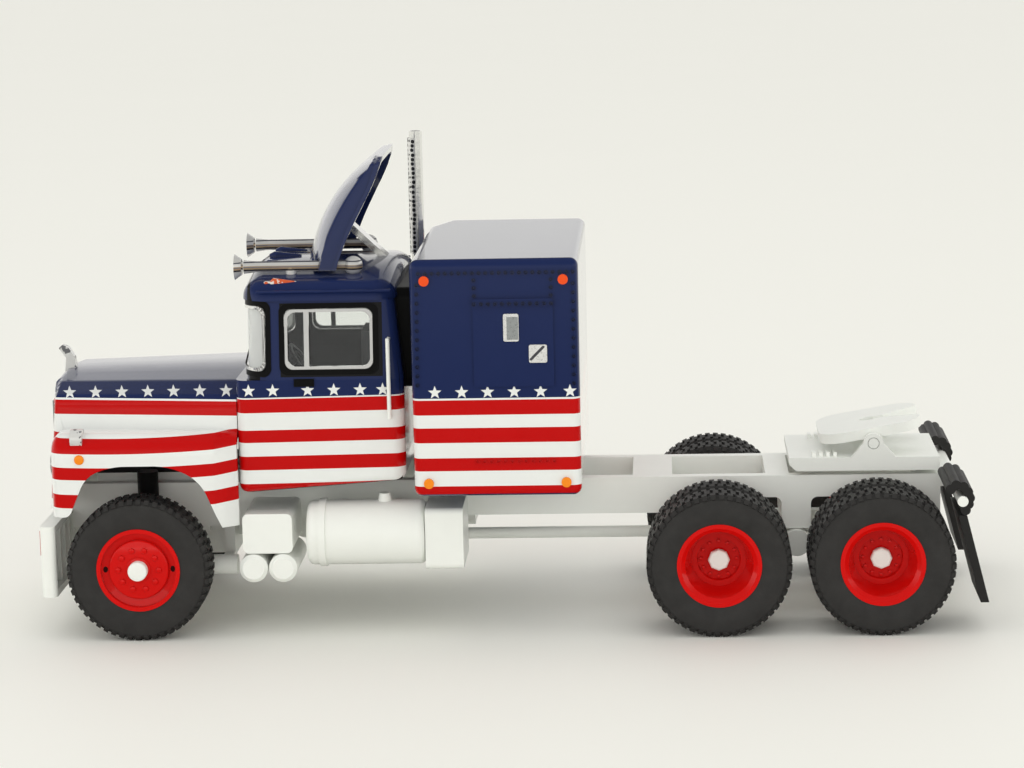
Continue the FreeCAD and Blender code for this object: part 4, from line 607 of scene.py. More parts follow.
# The deflector's copy is this much of the frame's, front to back and in height, about a station this far
# along it and the height of the air horns' tubes
DEFLECTOR_DEPTH_SHARE = 0.87
DEFLECTOR_HEIGHT_SHARE = 0.967
DEFLECTOR_STATION_SHARE = 0.6
HORN_DROP = 1.1     # from the top of the horns' bells down to their tubes' axis

# The nose's outer corners are swept back step by step: what lies ahead of a station and above a height is
# drawn towards that station by a share, from each of these half widths outwards
NOSE_STATION = -38.5
NOSE_HEIGHT = 17.75
NOSE_HALF_WIDTHS = (4.5, 5.5, 6.5, 7.5, 8.5)
NOSE_SHARE = 0.84

# Corners of the wheel arches and fender tips: along, up and how far each is rounded, in millimetres
ARCH_CORNERS = ((-35.92, 14.13, 1.0), (-33.75, 15.0, 1.0), (-28.82, 15.0, 1.2), (-26.22, 13.7, 1.2),
                (-37.4, 10.7, 0.45))
CORNER_REACH = 0.03     # how near to its corner an edge is found
ARCH_HALF_WIDTH = 11.0  # the arches' outer walls lie outside this and below the next
ARCH_TOP = 15.7
FLAT = math.radians(0.6)    # faces that turn less than this are one

# The drip rail: its setback at each end, its depth and its height
RAIL_FRONT, RAIL_REAR = 2.0, 0.9
RAIL_OUTER, RAIL_INNER = -10.86, -10.6
RAIL_LOW, RAIL_HIGH = 29.2, 29.42


class TRACTOR_OT_livery(Operator):
    """Paints the hood, cab, sleeper box and deflector navy, with printed stripes and stars"""
    bl_idname = "tractor.livery"
    bl_label = "Livery"

    def execute(self, context):
        tints = settings().livery
        printed = livery("hood livery", HOOD_BANDS, HOOD_STARS, HOOD_STAR_HEIGHT, HOOD_CLIMB, HOOD_INSIDE,
                         WRAP_HALF_WIDTH)
        paint(printed, "hood")
        self.softened_hood(printed)
        paint(livery("cab livery", CAB_BANDS, CAB_STARS, CAB_STAR_HEIGHT, CAB_CLIMB, CAB_INSIDE,
                     surround=WINDOW_SURROUND), "cab_shell")
        paint(livery("sleeper livery", SLEEPER_BANDS, SLEEPER_STARS, SLEEPER_STAR_HEIGHT, SLEEPER_CLIMB),
              "sleeper_box")
        navy = finish("gloss navy", tints.navy, 0.2, specular=0.15, **GLOSS_PAINT)
        paint(navy, "sleeper_hatches")
        sheen = finish("deflector navy", tints.navy, 0.2, specular=0.3, coat_ior=1.6, **GLOSS_PAINT)
        self.slim_deflector(sheen)
        self.drip_rails(navy)
        return {"FINISHED"}

    def slim_deflector(self, sheen):
        """The wind deflector, slimmer front to back."""
        deflector = duplicate_of("wind_deflector", "slim_deflector")
        low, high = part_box("wind_deflector")
        choose(deflector, "FACE", lambda middle: True)
        bpy.ops.mesh.dissolve_limited(angle_limit=FLAT)
        choose(deflector, "VERT", lambda spot: True)
        station = low.x + (high.x - low.x) * DEFLECTOR_STATION_SHARE
        horn_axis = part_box("air_horns")[1].z - HORN_DROP * MM
        bpy.ops.transform.resize(value=(DEFLECTOR_DEPTH_SHARE, 1, DEFLECTOR_HEIGHT_SHARE),
                                 center_override=(station, 0, horn_axis))
        ride(evened(settle(deflector)), "truck", "body_paint", sheen)
        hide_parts("wind_deflector")

    def softened_hood(self, printed):
        """The hood with rounder wheel arches, softer fender tips and the nose's corners swept back."""
        hood = duplicate_of("hood", "softened_hood")
        only(hood)
        bpy.ops.object.mode_set(mode="EDIT")
        bpy.ops.mesh.select_all(action="SELECT")
        bpy.ops.mesh.remove_doubles(threshold=MERGE)
        for half in NOSE_HALF_WIDTHS:
            choose(hood, "VERT", lambda spot: (spot.x < NOSE_STATION * MM and abs(spot.y) > half * MM
                                               and spot.z > NOSE_HEIGHT * MM))
            bpy.ops.transform.resize(value=(NOSE_SHARE, 1, 1), center_override=(NOSE_STATION * MM, 0, 0))
        choose(hood, "FACE", lambda middle: abs(middle.y) > ARCH_HALF_WIDTH * MM and middle.z < ARCH_TOP * MM)
        bpy.ops.mesh.dissolve_limited(angle_limit=FLAT)
        for x, z, soft in ARCH_CORNERS:
            choose(hood, "EDGE", lambda spot: (abs(spot.x - x * MM) < CORNER_REACH * MM
                                               and abs(spot.z - z * MM) < CORNER_REACH * MM))
            bpy.ops.mesh.bevel(offset=soft * MM, segments=4, affect="EDGES", clamp_overlap=True)
        ride(evened(settle(hood, 30)), "truck", "body_paint", printed)
        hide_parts("hood")

    def drip_rails(self, navy):
        """A thin rail along each side of the roof, with soft ends."""
        low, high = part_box("cab_shell")
        rail = bar("drip_rail", (low.x / MM + RAIL_FRONT, RAIL_OUTER, RAIL_LOW),
                   (high.x / MM - RAIL_REAR, RAIL_INNER, RAIL_HIGH), 0.07)
        ride(both_sides("drip_rails", rail), "truck", "body_paint", navy)


class TRACTOR_OT_chassis(Operator):
    """Finishes the frame, axles, tanks, boxes and bumper in moulded white"""
    bl_idname = "tractor.chassis"
    bl_label = "Chassis"

    def execute(self, context):
        tints = settings().livery
        white = finish("moulded white", tints.chassis, 0.34, wear=0.05, grain=1.2, ripple=0.1)
        paint(white, "chassis_frame", "front_axle_beam", "front_springs", "steering_rods", "walking_beams",
              "axle_housing_one", "axle_housing_two", "trunnion_tube", "prop_shaft", "bumper", "air_tanks",
              "battery_boxes", "fuel_tanks", "step_boxes", "slider_base", "fifth_wheel_plate", "flap_bar",
              "grab_rails")
        pins = finish("white pin", tints.chassis, 0.4, wear=0.1, grain=3.0, ripple=0.3)
        paint(pins, "front_axle_pin", "rear_axle_one_pin", "rear_axle_two_pin")
        return {"FINISHED"}


BRIGHT_HEIGHT = 12.6    # height of the frame's rails, above which the engine is painted near black as painted shade of the bay
LOWER_RED_TOP = 20.0    # height between the lower and the upper marker lamps and rivets
# Painted reflection on the horns: a warm band below, dark lines and a pale underside, by height about the
# tube's axis
HORN_REFLECTED_WARM = (0.5, 0.38, 0.25, 1.0)
# Dark lines of painted reflection along a horn's tube: height from its axis, half width and how light the line
# is
HORN_REFLECTED_LINES = ((0.42, 0.05, 0.12), (0.02, 0.04, 0.2), (-0.24, 0.07, 0.05))
HORN_REFLECTED_WARM_TOP = 0.12
HORN_REFLECTED_PALE_TOP = -0.32

# The vent bar in each door's window: its station, how near it its points lie, its widening and its shift
VENT_STATION = -17.5
VENT_REACH = 0.14
VENT_SHARE = 1.75
VENT_SHIFT = 0.43

# The outer roof lamps: where they start across and end along the truck, their shift, their nose's drop, and
# their growth about a middle
LAMP_HALF_WIDTH = 8.0
LAMP_NOSE = -20.1
LAMP_SHIFT = (0.45, 0.75, -0.38)
LAMP_NOSE_DROP = 0.25
LAMP_SHARES = (1.1, 1.1, 1.4)
LAMP_MIDDLE = (-19.4, 10.0, 30.0)
INNER_LAMP_HALF_WIDTH = 7.0

# The fittings on the sleeper's side, by low and high station, and low and high height
WINDOW_PANE = (-0.1, 0.85, 25.55, 27.45)
LATCH = (1.75, 3.0, 23.8, 25.0)
LATCH_STROKE_RISE = 22.03    # height of the latch's slanting stroke where its station is zero
LATCH_STROKE_HALF_WIDTH = 0.16


class TRACTOR_OT_trim(Operator):
    """Finishes the plated, black, glazed and painted small pieces"""
    bl_idname = "tractor.trim"
    bl_label = "Trim"

    def execute(self, context):
        tints = settings().livery
        chrome = finish("bright plating", tints.plating, 0.1, wear=0.08, grain=1.6, ripple=0.18, metal=0.75)
        paint(chrome, "grille", "headlamps", "deflector_brace", "exhaust_stack", "window_trims")
        paint(self.horn_painted_reflections(tints.plating), "air_horns")
        paint(self.reflection_streaked(tints.plating), "hood_ornament", "fender_lamps")
        self.trims(chrome)
        paint(self.fittings(tints.plating), "sleeper_fittings")
        paint(self.guard(tints.plating), "stack_guard")
        black = finish("black rubber trim", (0.005, 0.005, 0.005), 0.42, wear=0.06, specular=0.15)
        # The cab boot's black is partly its rubber and partly painted shade of the gap between cab and sleeper
        paint(black, "window_gaskets", "door_handles", "cab_boot", "front_shocks")
        # Painted shade: above the rails the engine is painted near black, for the dark bay under the hood
        engine_shade = split_by_height(BRIGHT_HEIGHT, tints.chassis, grey(0.006))
        paint(finish("engine with painted shade", engine_shade, 0.4, wear=0.1, grain=2.0, ripple=0.2), "engine")
        flap = finish("flap rubber", (0.022, 0.021, 0.02), 0.5, wear=0.12, grain=3.0, ripple=0.3)
        paint(flap, "mud_flaps", "flap_heads")
        inside = finish("moulded grey inside", (0.05, 0.052, 0.055), 0.5, wear=0.1)
        paint(inside, "cab_interior", "steering_wheel")
        paint(self.pale_patched(tints), "roof_lamps")
        self.roof_lamps()
        two_tone = split_by_height(LOWER_RED_TOP, tints.amber, (0.86, 0.075, 0.003))
        paint(finish("marker paint", two_tone, 0.22, wear=0.1, coat=0.3), "sleeper_lamps")
        paint(self.glass("clear plastic", 1.0), "door_windows")
        paint(self.glass("milky plastic", 0.5), "windscreen")
        return {"FINISHED"}

    def horn_painted_reflections(self, tint):
        """Plating with bright, warm and dark bands of painted reflection that lie along a polished tube."""
        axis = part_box("air_horns")[1].z / MM - HORN_DROP

        def reflection_bands(tree, place):
            # Painted reflection: warm below a height, dark lines, and pale underneath
            height = tree.math("SUBTRACT", tree.axes(place)["Z"], axis)
            shade = tree.mix(tree.math("GREATER_THAN", height, HORN_REFLECTED_WARM_TOP), HORN_REFLECTED_WARM, opaque(tint))
            for middle, half, dark in HORN_REFLECTED_LINES:
                line = tree.math("COMPARE", height, middle, half)
                shade = tree.mix(line, shade, (dark, dark, dark * 1.2, 1.0))
            return tree.mix(tree.math("LESS_THAN", height, HORN_REFLECTED_PALE_TOP), shade, grey(0.8))
        return finish("horn plating with painted reflections", reflection_bands, 0.14, wear=0.08, grain=1.6, ripple=0.2, metal=0.45)

    def reflection_streaked(self, tint):
        """Plating with light and dark streaks of painted reflection."""
        def streaks(tree, place):
            # Painted reflection: dark streaks by noise across the plating
            dark = tree.math("LESS_THAN", tree.noise(place, 1.3, 2.0), 0.46)
            return tree.mix(dark, opaque(tint), (0.2, 0.2, 0.21, 1.0))
        return finish("streaked plating", streaks, 0.18, wear=0.1, grain=1.2, ripple=0.5, metal=0.3)

    def trims(self, chrome):
        """The window frames with a broader vent bar, set a little further back in each door."""
        frames = duplicate_of("window_trims", "window_frames")
        choose(frames, "VERT", lambda spot: abs(spot.x - VENT_STATION * MM) < VENT_REACH * MM)
        bpy.ops.transform.resize(value=(VENT_SHARE, 1, 1), center_override=(VENT_STATION * MM, 0, 0))
        bpy.ops.transform.translate(value=(VENT_SHIFT * MM, 0, 0))
        ride(settle(frames), "truck", "chrome", chrome)
        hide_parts("window_trims")

    def roof_lamps(self):
        """The roof's marker lamps, the outer ones lying down over the roof's shoulders."""
        lamps = duplicate_of("roof_lamps", "marker_lamps")
        for side in (-1, 1):
            def on_shoulder(spot):
                return side * spot.y > LAMP_HALF_WIDTH * MM
            choose(lamps, "VERT", on_shoulder)
            along, across, up = Vector(LAMP_SHIFT) * MM
            bpy.ops.transform.translate(value=(along, side * across, up))
            choose(lamps, "VERT", lambda spot: on_shoulder(spot) and spot.x < LAMP_NOSE * MM)
            bpy.ops.transform.translate(value=(0, 0, -LAMP_NOSE_DROP * MM))
            choose(lamps, "VERT", on_shoulder)
            along, across, up = Vector(LAMP_MIDDLE) * MM
            bpy.ops.transform.resize(value=LAMP_SHARES, center_override=(along, side * across, up))
        ride(settle(lamps), "truck", "lamp_orange", nodes["roof_lamps"].data.materials[0])
        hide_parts("roof_lamps")

    def pale_patched(self, tints):
        """Red-orange paint with random pale patches on the outer lamps, and navy on the inner ones."""
        def worn(tree, place):
            pale_patched = tree.math("GREATER_THAN", tree.noise(place, 1.7, 3.0), 0.53)
            outer = tree.mix(pale_patched, (0.66, 0.105, 0.03, 1.0), (0.78, 0.72, 0.66, 1.0))
            half_width = tree.math("ABSOLUTE", tree.axes(place)["Y"])
            inner = tree.math("LESS_THAN", half_width, INNER_LAMP_HALF_WIDTH)
            return tree.mix(inner, outer, opaque(tints.navy))
        return finish("rubbed lamp paint", worn, 0.25, wear=0.1, coat=0.8)

    def guard(self, tint):
        """Plating with rows of round holes, painted as dark spots of shade."""
        def pierced(tree, place):
            grid = tree.add("ShaderNodeTexVoronoi", {"Vector": place, "Scale": 2.4, "Randomness": 0.25})
            # Painted shade: each hole is a dark spot
            hole = tree.math("LESS_THAN", grid.outputs["Distance"], 0.42)
            return tree.mix(hole, opaque(tint), (0.03, 0.03, 0.035, 1.0))
        return finish("plating with painted hole shade", pierced, 0.25, wear=0.1, metal=0.6)

    def fittings(self, tint):
        """Silver paint with a grey pane in the window and a dark stroke on the latch."""
        def silver(tree, place):
            axes = tree.axes(place)
            slant = tree.math("SUBTRACT", axes["Z"], tree.math("ADD", axes["X"], LATCH_STROKE_RISE))
            line = tree.math("COMPARE", slant, 0.0, LATCH_STROKE_HALF_WIDTH)
            stroke = tree.math("MULTIPLY", tree.panel(axes, LATCH), line)
            shaded = tree.mix(tree.panel(axes, WINDOW_PANE), opaque(tint), (0.36, 0.38, 0.38, 1.0))
            return tree.mix(stroke, shaded, (0.09, 0.09, 0.1, 1.0))
        return finish("silver paint", silver, 0.3, wear=0.5, patches=3.0, metal=0.35)

    def glass(self, name, clear):
        """Slightly smeared plastic, clear or partly milky."""
        material, tree, shader = material_tree(name)
        worn = tree.group(effect("wear"), Place=tree.place(), Color=(0.93, 0.95, 0.94, 1.0), Roughness=0.03,
                          Amount=0.03, Scale=0.4)
        tree.feed(shader.inputs["Base Color"], worn["Color"])
        tree.feed(shader.inputs["Roughness"], worn["Roughness"])
        shader.inputs["Transmission Weight"].default_value = clear
        shader.inputs["IOR"].default_value = 1.45
        return material


# Wheels

SINGLE_TYRE_WIDTH = 3.4
TWIN_TYRE_WIDTH = 3.2
TWIN_GAP = 0.5
BEAD_RADIUS = 3.54
CROWN_SHARE = 0.8           # of a tyre's half width
TREAD_ROW_SHARES = (-0.5, 0.0, 0.5)
LUG_STEPS = 3               # two of them carry the lug and one the gap
WALL_BAND = 0.5             # of the wall beside the bead, without lugs
# Each step of a tyre's wall: its reach as a share of the half width, and its radius between bead and base
WALL_SHARES = ((0.95, 0.87), (1.0, 0.6), (0.99, 0.36), (0.93, 0.14), (0.85, 0.0))


def tread_tyre(name, half_width, outer_radius):
    """One tyre about the origin, its axle along Y: rows of standing lugs that wrap its shoulders."""
    sizes = settings().tyre
    base = outer_radius - sizes.depth / MM
    crown = half_width * CROWN_SHARE
    steps = sizes.lugs * LUG_STEPS
    tyre = cylinder(name, "y", (0, 0, 0), base, crown * 2, sides=steps, ends="NOTHING")
    for share in TREAD_ROW_SHARES:
        choose(tyre, "FACE", lambda middle: True)
        bpy.ops.mesh.bisect(plane_co=(0, share * crown * MM, 0), plane_no=(0, 1, 0))
    for side in (-1, 1):
        start, radius = crown, base
        for reach_share, radius_share in WALL_SHARES:
            choose(tyre, "EDGE", lambda spot: abs(spot.y - side * start * MM) < MERGE)
            reach = half_width * reach_share
            following = BEAD_RADIUS + (base - BEAD_RADIUS) * radius_share
            outwards = (0, side * (reach - start) * MM, 0)
            bpy.ops.mesh.extrude_edges_move(TRANSFORM_OT_translate={"value": outwards})
            size = following / radius
            bpy.ops.transform.resize(value=(size, 1, size), center_override=(0, 0, 0))
            start, radius = reach, following
    choose(tyre, "EDGE", lambda spot: math.hypot(spot.x, spot.z) < BEAD_RADIUS * MM + MERGE)
    bpy.ops.mesh.bridge_edge_loops()
    settle(tyre)
    shoulder = half_width * WALL_SHARES[0][0]

    def on_lug(middle):
        """Two steps of three, staggered between the outer rows with their shoulders and the inner rows."""
        near_bead = math.hypot(middle.x, middle.z) < (BEAD_RADIUS + WALL_BAND) * MM
        if abs(middle.y) > shoulder * MM or near_bead:
            return False
        step = math.floor(math.atan2(middle.z, middle.x) / TAU * steps)
        inner = abs(middle.y) < crown * TREAD_ROW_SHARES[-1] * MM
        return (step + inner) % LUG_STEPS > 0
    choose(tyre, "FACE", on_lug)
    bpy.ops.mesh.inset(thickness=sizes.groove, depth=0)
    bpy.ops.mesh.extrude_region_shrink_fatten(TRANSFORM_OT_shrink_fatten={"value": sizes.depth})
    return settle(tyre, 28)


class TRACTOR_OT_tyres(Operator):
    """Models the treaded tyres, one for each plain tyre of the frame"""
    bl_idname = "tractor.tyres"
    bl_label = "Tyres"

    def execute(self, context):
        rubber = self.rubber()
        for node, body, twin in (("front_tyres", "front_axle", False),
                                 ("rear_axle_one_tyres", "rear_axle_front", True),
                                 ("rear_axle_two_tyres", "rear_axle_rear", True)):
            low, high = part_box(node)
            middle = (low + high) / 2
            radius = (high.z - low.z) / 2 / MM
            width = TWIN_TYRE_WIDTH if twin else SINGLE_TYRE_WIDTH
            master = tread_tyre(f"{body}_tyre_master", width / 2, radius)
            outer = low.y + width / 2 * MM
            stations = [outer, outer + (width + TWIN_GAP) * MM] if twin else [outer]
            tyres = []
            for y in stations:
                for place in (y, -y):
                    tyres.append(copied(master, (middle.x, place, middle.z)))
            bpy.data.objects.remove(master)
            piece = joined(f"{node}_treaded", tyres)
            ride(piece, body, "tyre_rubber", rubber)
            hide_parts(node)
        return {"FINISHED"}

    def rubber(self):
        tint = settings().livery.rubber

        def dusty(tree, place):
            return tree.mix(tree.noise(place, 1.1, 5.0), opaque(tint), opaque([part * 1.7 for part in tint]))
        return finish("tyre rubber", dusty, 0.55, wear=0.15, grain=5.0, ripple=0.25, specular=0.35)


def nut_ring(name, radius, height, sides, spots):
    """Copies of one bevelled nut at the given places, on the truck's left side, and mirrored to its right."""
    master = cylinder(f"{name}_master", "y", (0, 0, 0), radius, height, sides=sides)
    choose(master, "FACE", lambda middle: middle.y < -height * 0.4 * MM)
    bpy.ops.mesh.bevel(offset=radius * 0.35 * MM, segments=2, affect="EDGES")
    settle(master)
    nuts = [copied(master, Vector(spot) * MM) for spot in spots]
    bpy.data.objects.remove(master)
    return both_sides(name, joined(name, nuts))


def ring_of(count, ring, x, y, z):
    """Evenly spaced places on a circle about a wheel's middle."""
    return [(x + ring * math.cos(TAU / count * step), y, z + ring * math.sin(TAU / count * step))
            for step in range(count)]


def disc(name, middle, radius, thick, soft, sides=64):
    """A wheel's disc or cap with a soft outer rim, on the left side, and mirrored to the right."""
    left = cylinder(name, "y", middle, radius, thick, sides=sides)
    choose(left, "FACE", lambda spot: spot.y < (middle[1] - thick * 0.4) * MM)
    bpy.ops.mesh.bevel(offset=soft * MM, segments=3, affect="EDGES")
    return both_sides(name, left)


MOULDED_RED = {"wear": 0.06, "grain": 1.4, "ripple": 0.08, "coat": 1.0, "specular": 0.15, "coat_ior": 1.4}

# The front wheels, in millimetres: the face stands this far in from the rim's edge
FACE_DEPTH = 0.26
FACE_RADIUS, FACE_THICKNESS, FACE_SOFT = 2.54, 0.6, 0.14
COLLAR_RADIUS, COLLAR_THICKNESS, COLLAR_SOFT = 1.06, 0.2, 0.06
FRONT_NUTS, FRONT_NUT_RING, FRONT_NUT_RADIUS, FRONT_NUT_HEIGHT = 10, 1.73, 0.27, 0.34
FRONT_CAP_RADIUS, FRONT_CAP_THICKNESS, FRONT_CAP_SOFT = 0.82, 1.0, 0.12
FRONT_CAP_OUT = 0.35        # from the face out to the middle of the cap
# Each hand hole is a dark spot of painted shade: its ring, its radius and a share on its height
HAND_HOLE_RING, HAND_HOLE_RADIUS, HAND_HOLE_SHARE = 2.86, 0.2, 0.75

# The rear wheels: the face stands further in, and the cap sits on the pin's end
REAR_FACE_DEPTH = 3.0
REAR_NUTS, REAR_NUT_RING, REAR_NUT_RADIUS, REAR_NUT_HEIGHT = 12, 1.5, 0.17, 0.5
REAR_CAP_RADIUS, REAR_CAP_THICKNESS, REAR_CAP_SOFT, REAR_CAP_SIDES = 0.92, 0.5, 0.2, 8
REAR_CAP_OUT = 0.1
NUT_SIDES = 6


class TRACTOR_OT_wheels(Operator):
    """Finishes the rims and adds their faces, nuts and hub caps"""
    bl_idname = "tractor.wheels"
    bl_label = "Wheels"

    def execute(self, context):
        tints = settings().livery
        red = finish("moulded red", tints.rim, 0.2, **MOULDED_RED)
        white = finish("white hub", tints.chassis, 0.35, wear=0.12, grain=2.5, ripple=0.3)
        paint(red, "rear_axle_one_rims", "rear_axle_two_rims")
        self.front(red, white)
        for number, body in (("one", "rear_axle_front"), ("two", "rear_axle_rear")):
            self.rear(number, body, red, white)
        return {"FINISHED"}

    def front(self, red, white):
        """A flat face with ten nuts, a standing hub and two small hand holes beside the face, painted as dark
        spots of shade.
        """
        low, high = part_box("front_rims")
        x, y, z = (low + high) / 2 / MM
        paint(self.holed(x, z), "front_rims")
        face = low.y / MM + FACE_DEPTH
        faces = disc("front_wheel_faces", (x, face + FACE_THICKNESS / 2, z), FACE_RADIUS, FACE_THICKNESS,
                     FACE_SOFT)
        ride(faces, "front_axle", "wheel_red", red)
        collars = disc("front_hub_collars", (x, face, z), COLLAR_RADIUS, COLLAR_THICKNESS, COLLAR_SOFT,
                       sides=48)
        ride(collars, "front_axle", "wheel_red", red)
        nuts = nut_ring("front_wheel_nuts", FRONT_NUT_RADIUS, FRONT_NUT_HEIGHT, NUT_SIDES,
                        ring_of(FRONT_NUTS, FRONT_NUT_RING, x, face, z))
        ride(nuts, "front_axle", "wheel_red", red)
        caps = disc("front_hub_caps", (x, face - FRONT_CAP_OUT, z), FRONT_CAP_RADIUS, FRONT_CAP_THICKNESS,
                    FRONT_CAP_SOFT, sides=32)
        ride(caps, "front_axle", "chassis_white", white)

    def holed(self, x, z):
        """Moulded red with a dark spot of painted shade for a hand hole at each side of the wheel's middle."""
        def pierced(tree, place):
            axes = tree.axes(place)
            from_middle = tree.math("ABSOLUTE", tree.math("SUBTRACT", axes["X"], x))
            along = tree.math("SUBTRACT", from_middle, HAND_HOLE_RING)
            up = tree.math("MULTIPLY", tree.math("SUBTRACT", axes["Z"], z), HAND_HOLE_SHARE)
            # Painted shade: the hand hole is a dark spot
            hole = tree.math("LESS_THAN", tree.reach(along, up), HAND_HOLE_RADIUS)
            return tree.mix(hole, opaque(settings().livery.rim), (0.03, 0.0, 0.0, 1.0))
        return finish("red with painted hole shade", pierced, 0.2, **MOULDED_RED)

    def rear(self, number, body, red, white):
        """Twelve small nuts deep in the rim, and an eight-sided cap on the pin's end."""
        low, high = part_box(f"rear_axle_{number}_rims")
        x, y, z = (low + high) / 2 / MM
        pin_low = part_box(f"rear_axle_{number}_pin")[0].y / MM
        face = low.y / MM + REAR_FACE_DEPTH
        nuts = nut_ring(f"rear_{number}_wheel_nuts", REAR_NUT_RADIUS, REAR_NUT_HEIGHT, NUT_SIDES,
                        ring_of(REAR_NUTS, REAR_NUT_RING, x, face, z))
        ride(nuts, body, "wheel_red", red)
        caps = disc(f"rear_{number}_hub_caps", (x, pin_low - REAR_CAP_OUT, z), REAR_CAP_RADIUS,
                    REAR_CAP_THICKNESS, REAR_CAP_SOFT, sides=REAR_CAP_SIDES)
        ride(caps, body, "chassis_white", white)


# Rivets and small trim

def rivet_row(name, start, step, count):
    """A row of ring rivets on the sleeper's left side, in millimetres."""
    sizes = settings().rivet
    radius, height = sizes.radius / MM, sizes.height / MM
    rivet = cylinder(name, "y", (start[0], start[1] - height / 2, start[2]), radius, height, sides=10)
    front = start[1] - height
    choose(rivet, "FACE", lambda middle: middle.y < (front + 0.01) * MM)
    bpy.ops.mesh.inset(thickness=radius * 0.3 * MM)
    bpy.ops.mesh.inset(thickness=radius * 0.2 * MM)
    bpy.ops.transform.translate(value=(0, height * 0.8 * MM, 0))
    bpy.ops.object.mode_set(mode="OBJECT")
    rows = rivet.modifiers.new("row", "ARRAY")
    rows.count = count
    rows.use_relative_offset = False
    rows.use_constant_offset = True
    rows.constant_offset_displace = Vector(step) * MM
    bpy.ops.object.modifier_apply(modifier=rows.name)
    return rivet


# Rivet rows, in millimetres: setbacks from the sleeper's edges and the hatch's, and the lowest row's height
ROW_TOP = 1.1
ROW_FRONT, ROW_REAR = 0.8, 0.42
COLUMN_FRONT_TOP, COLUMN_FRONT_FOOT, COLUMN_REAR_FOOT = 0.62, 0.5, 0.48
COLUMN_TOP, COLUMN_FOOT = 2.05, 10.4
HATCH_SIDE, HATCH_TOP = 0.15, 0.4
SHORT_TOP, SHORT_FOOT = 1.7, 3.0
LOW_ROW = 15.3
COLUMN_PITCH_SHARE, SHORT_PITCH_SHARE = 1.4, 1.15
RIVET_SHADE_SHARE = 0.6      # of the navy's lightness, for the rivets' painted shade


class TRACTOR_OT_rivets(Operator):
    """Adds the rows of ring rivets to both sides of the sleeper box"""
    bl_idname = "tractor.rivets"
    bl_label = "Rivets"

    def execute(self, context):
        low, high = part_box("sleeper_box")
        side, front, rear, top = low.y / MM, low.x / MM, high.x / MM, high.z / MM
        hatch_low, hatch_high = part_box("sleeper_hatches")
        pitch = settings().rivet.pitch / MM
        spread, short = pitch * COLUMN_PITCH_SHARE, pitch * SHORT_PITCH_SHARE
        left, right = hatch_low.x / MM + HATCH_SIDE, hatch_high.x / MM - HATCH_SIDE
        hatch_top, column_top, foot = hatch_high.z / MM - HATCH_TOP, top - COLUMN_TOP, top - COLUMN_FOOT
        # Each row: its start, where it ends, its depth across the truck and the pitch it aims for
        plans = [((front + ROW_FRONT, top - ROW_TOP), (rear - ROW_REAR, top - ROW_TOP), side, pitch),
                 ((front + COLUMN_FRONT_TOP, column_top), (front + COLUMN_FRONT_FOOT, foot), side, spread),
                 ((rear - ROW_REAR, column_top), (rear - COLUMN_REAR_FOOT, foot), side, spread),
                 ((left, top - SHORT_TOP), (left, top - SHORT_FOOT), side, short),
                 ((right, top - SHORT_TOP), (right, top - SHORT_FOOT), side, short),
                 ((left, hatch_top), (right, hatch_top), hatch_low.y / MM, pitch),
                 ((left, LOW_ROW), (right, LOW_ROW), side, pitch)]
        rows = []
        for number, (start, end, y, aim) in enumerate(plans):
            run = Vector((end[0] - start[0], 0, end[1] - start[1]))
            count = round(run.length / aim)
            rows.append(rivet_row(f"rivets_{number}", (start[0], y, start[1]), run / count, count + 1))
        tints = settings().livery
        # Painted shade: the rivets are red in the red band and a darker navy above it, so that they show as
        # shaded rings
        two_tone = split_by_height(LOWER_RED_TOP, tints.red, [part * RIVET_SHADE_SHARE for part in tints.navy])
        film = finish("rivet paint with painted shade", two_tone, 0.14, wear=0.1, specular=0.6, coat=0.6)
        ride(both_sides("sleeper_rivets", joined("rivets_left", rows)), "truck", "body_paint", film)
        return {"FINISHED"}


# A lamp on each fender's side: its station, height, radius, thickness, soft edge and how far it stands out
MARKER_STATION, MARKER_HEIGHT = -36.35, 15.62
MARKER_RADIUS, MARKER_THICKNESS, MARKER_SOFT, MARKER_OUT = 0.42, 0.2, 0.12, 0.05

# A reflector near each end of the bumper: from its end inwards, its heights, and how far it stands out and in
REFLECTOR_START, REFLECTOR_END = 0.7, 3.4
REFLECTOR_LOW, REFLECTOR_HIGH = 7.2, 9.35
REFLECTOR_OUT, REFLECTOR_IN = 0.1, 0.02

# The wipers: where their middles lie across the truck, half their length, their stations, heights and rise
WIPER_MIDDLES = (-6.2, 2.2)
WIPER_HALF_LENGTH = 2.2
WIPER_FRONT, WIPER_BACK = -22.62, -22.5
WIPER_LOW, WIPER_HIGH = 22.85, 23.05
WIPER_RISE, WIPER_LEAN = 1.5, 0.02
SMALL_SOFT = 0.04


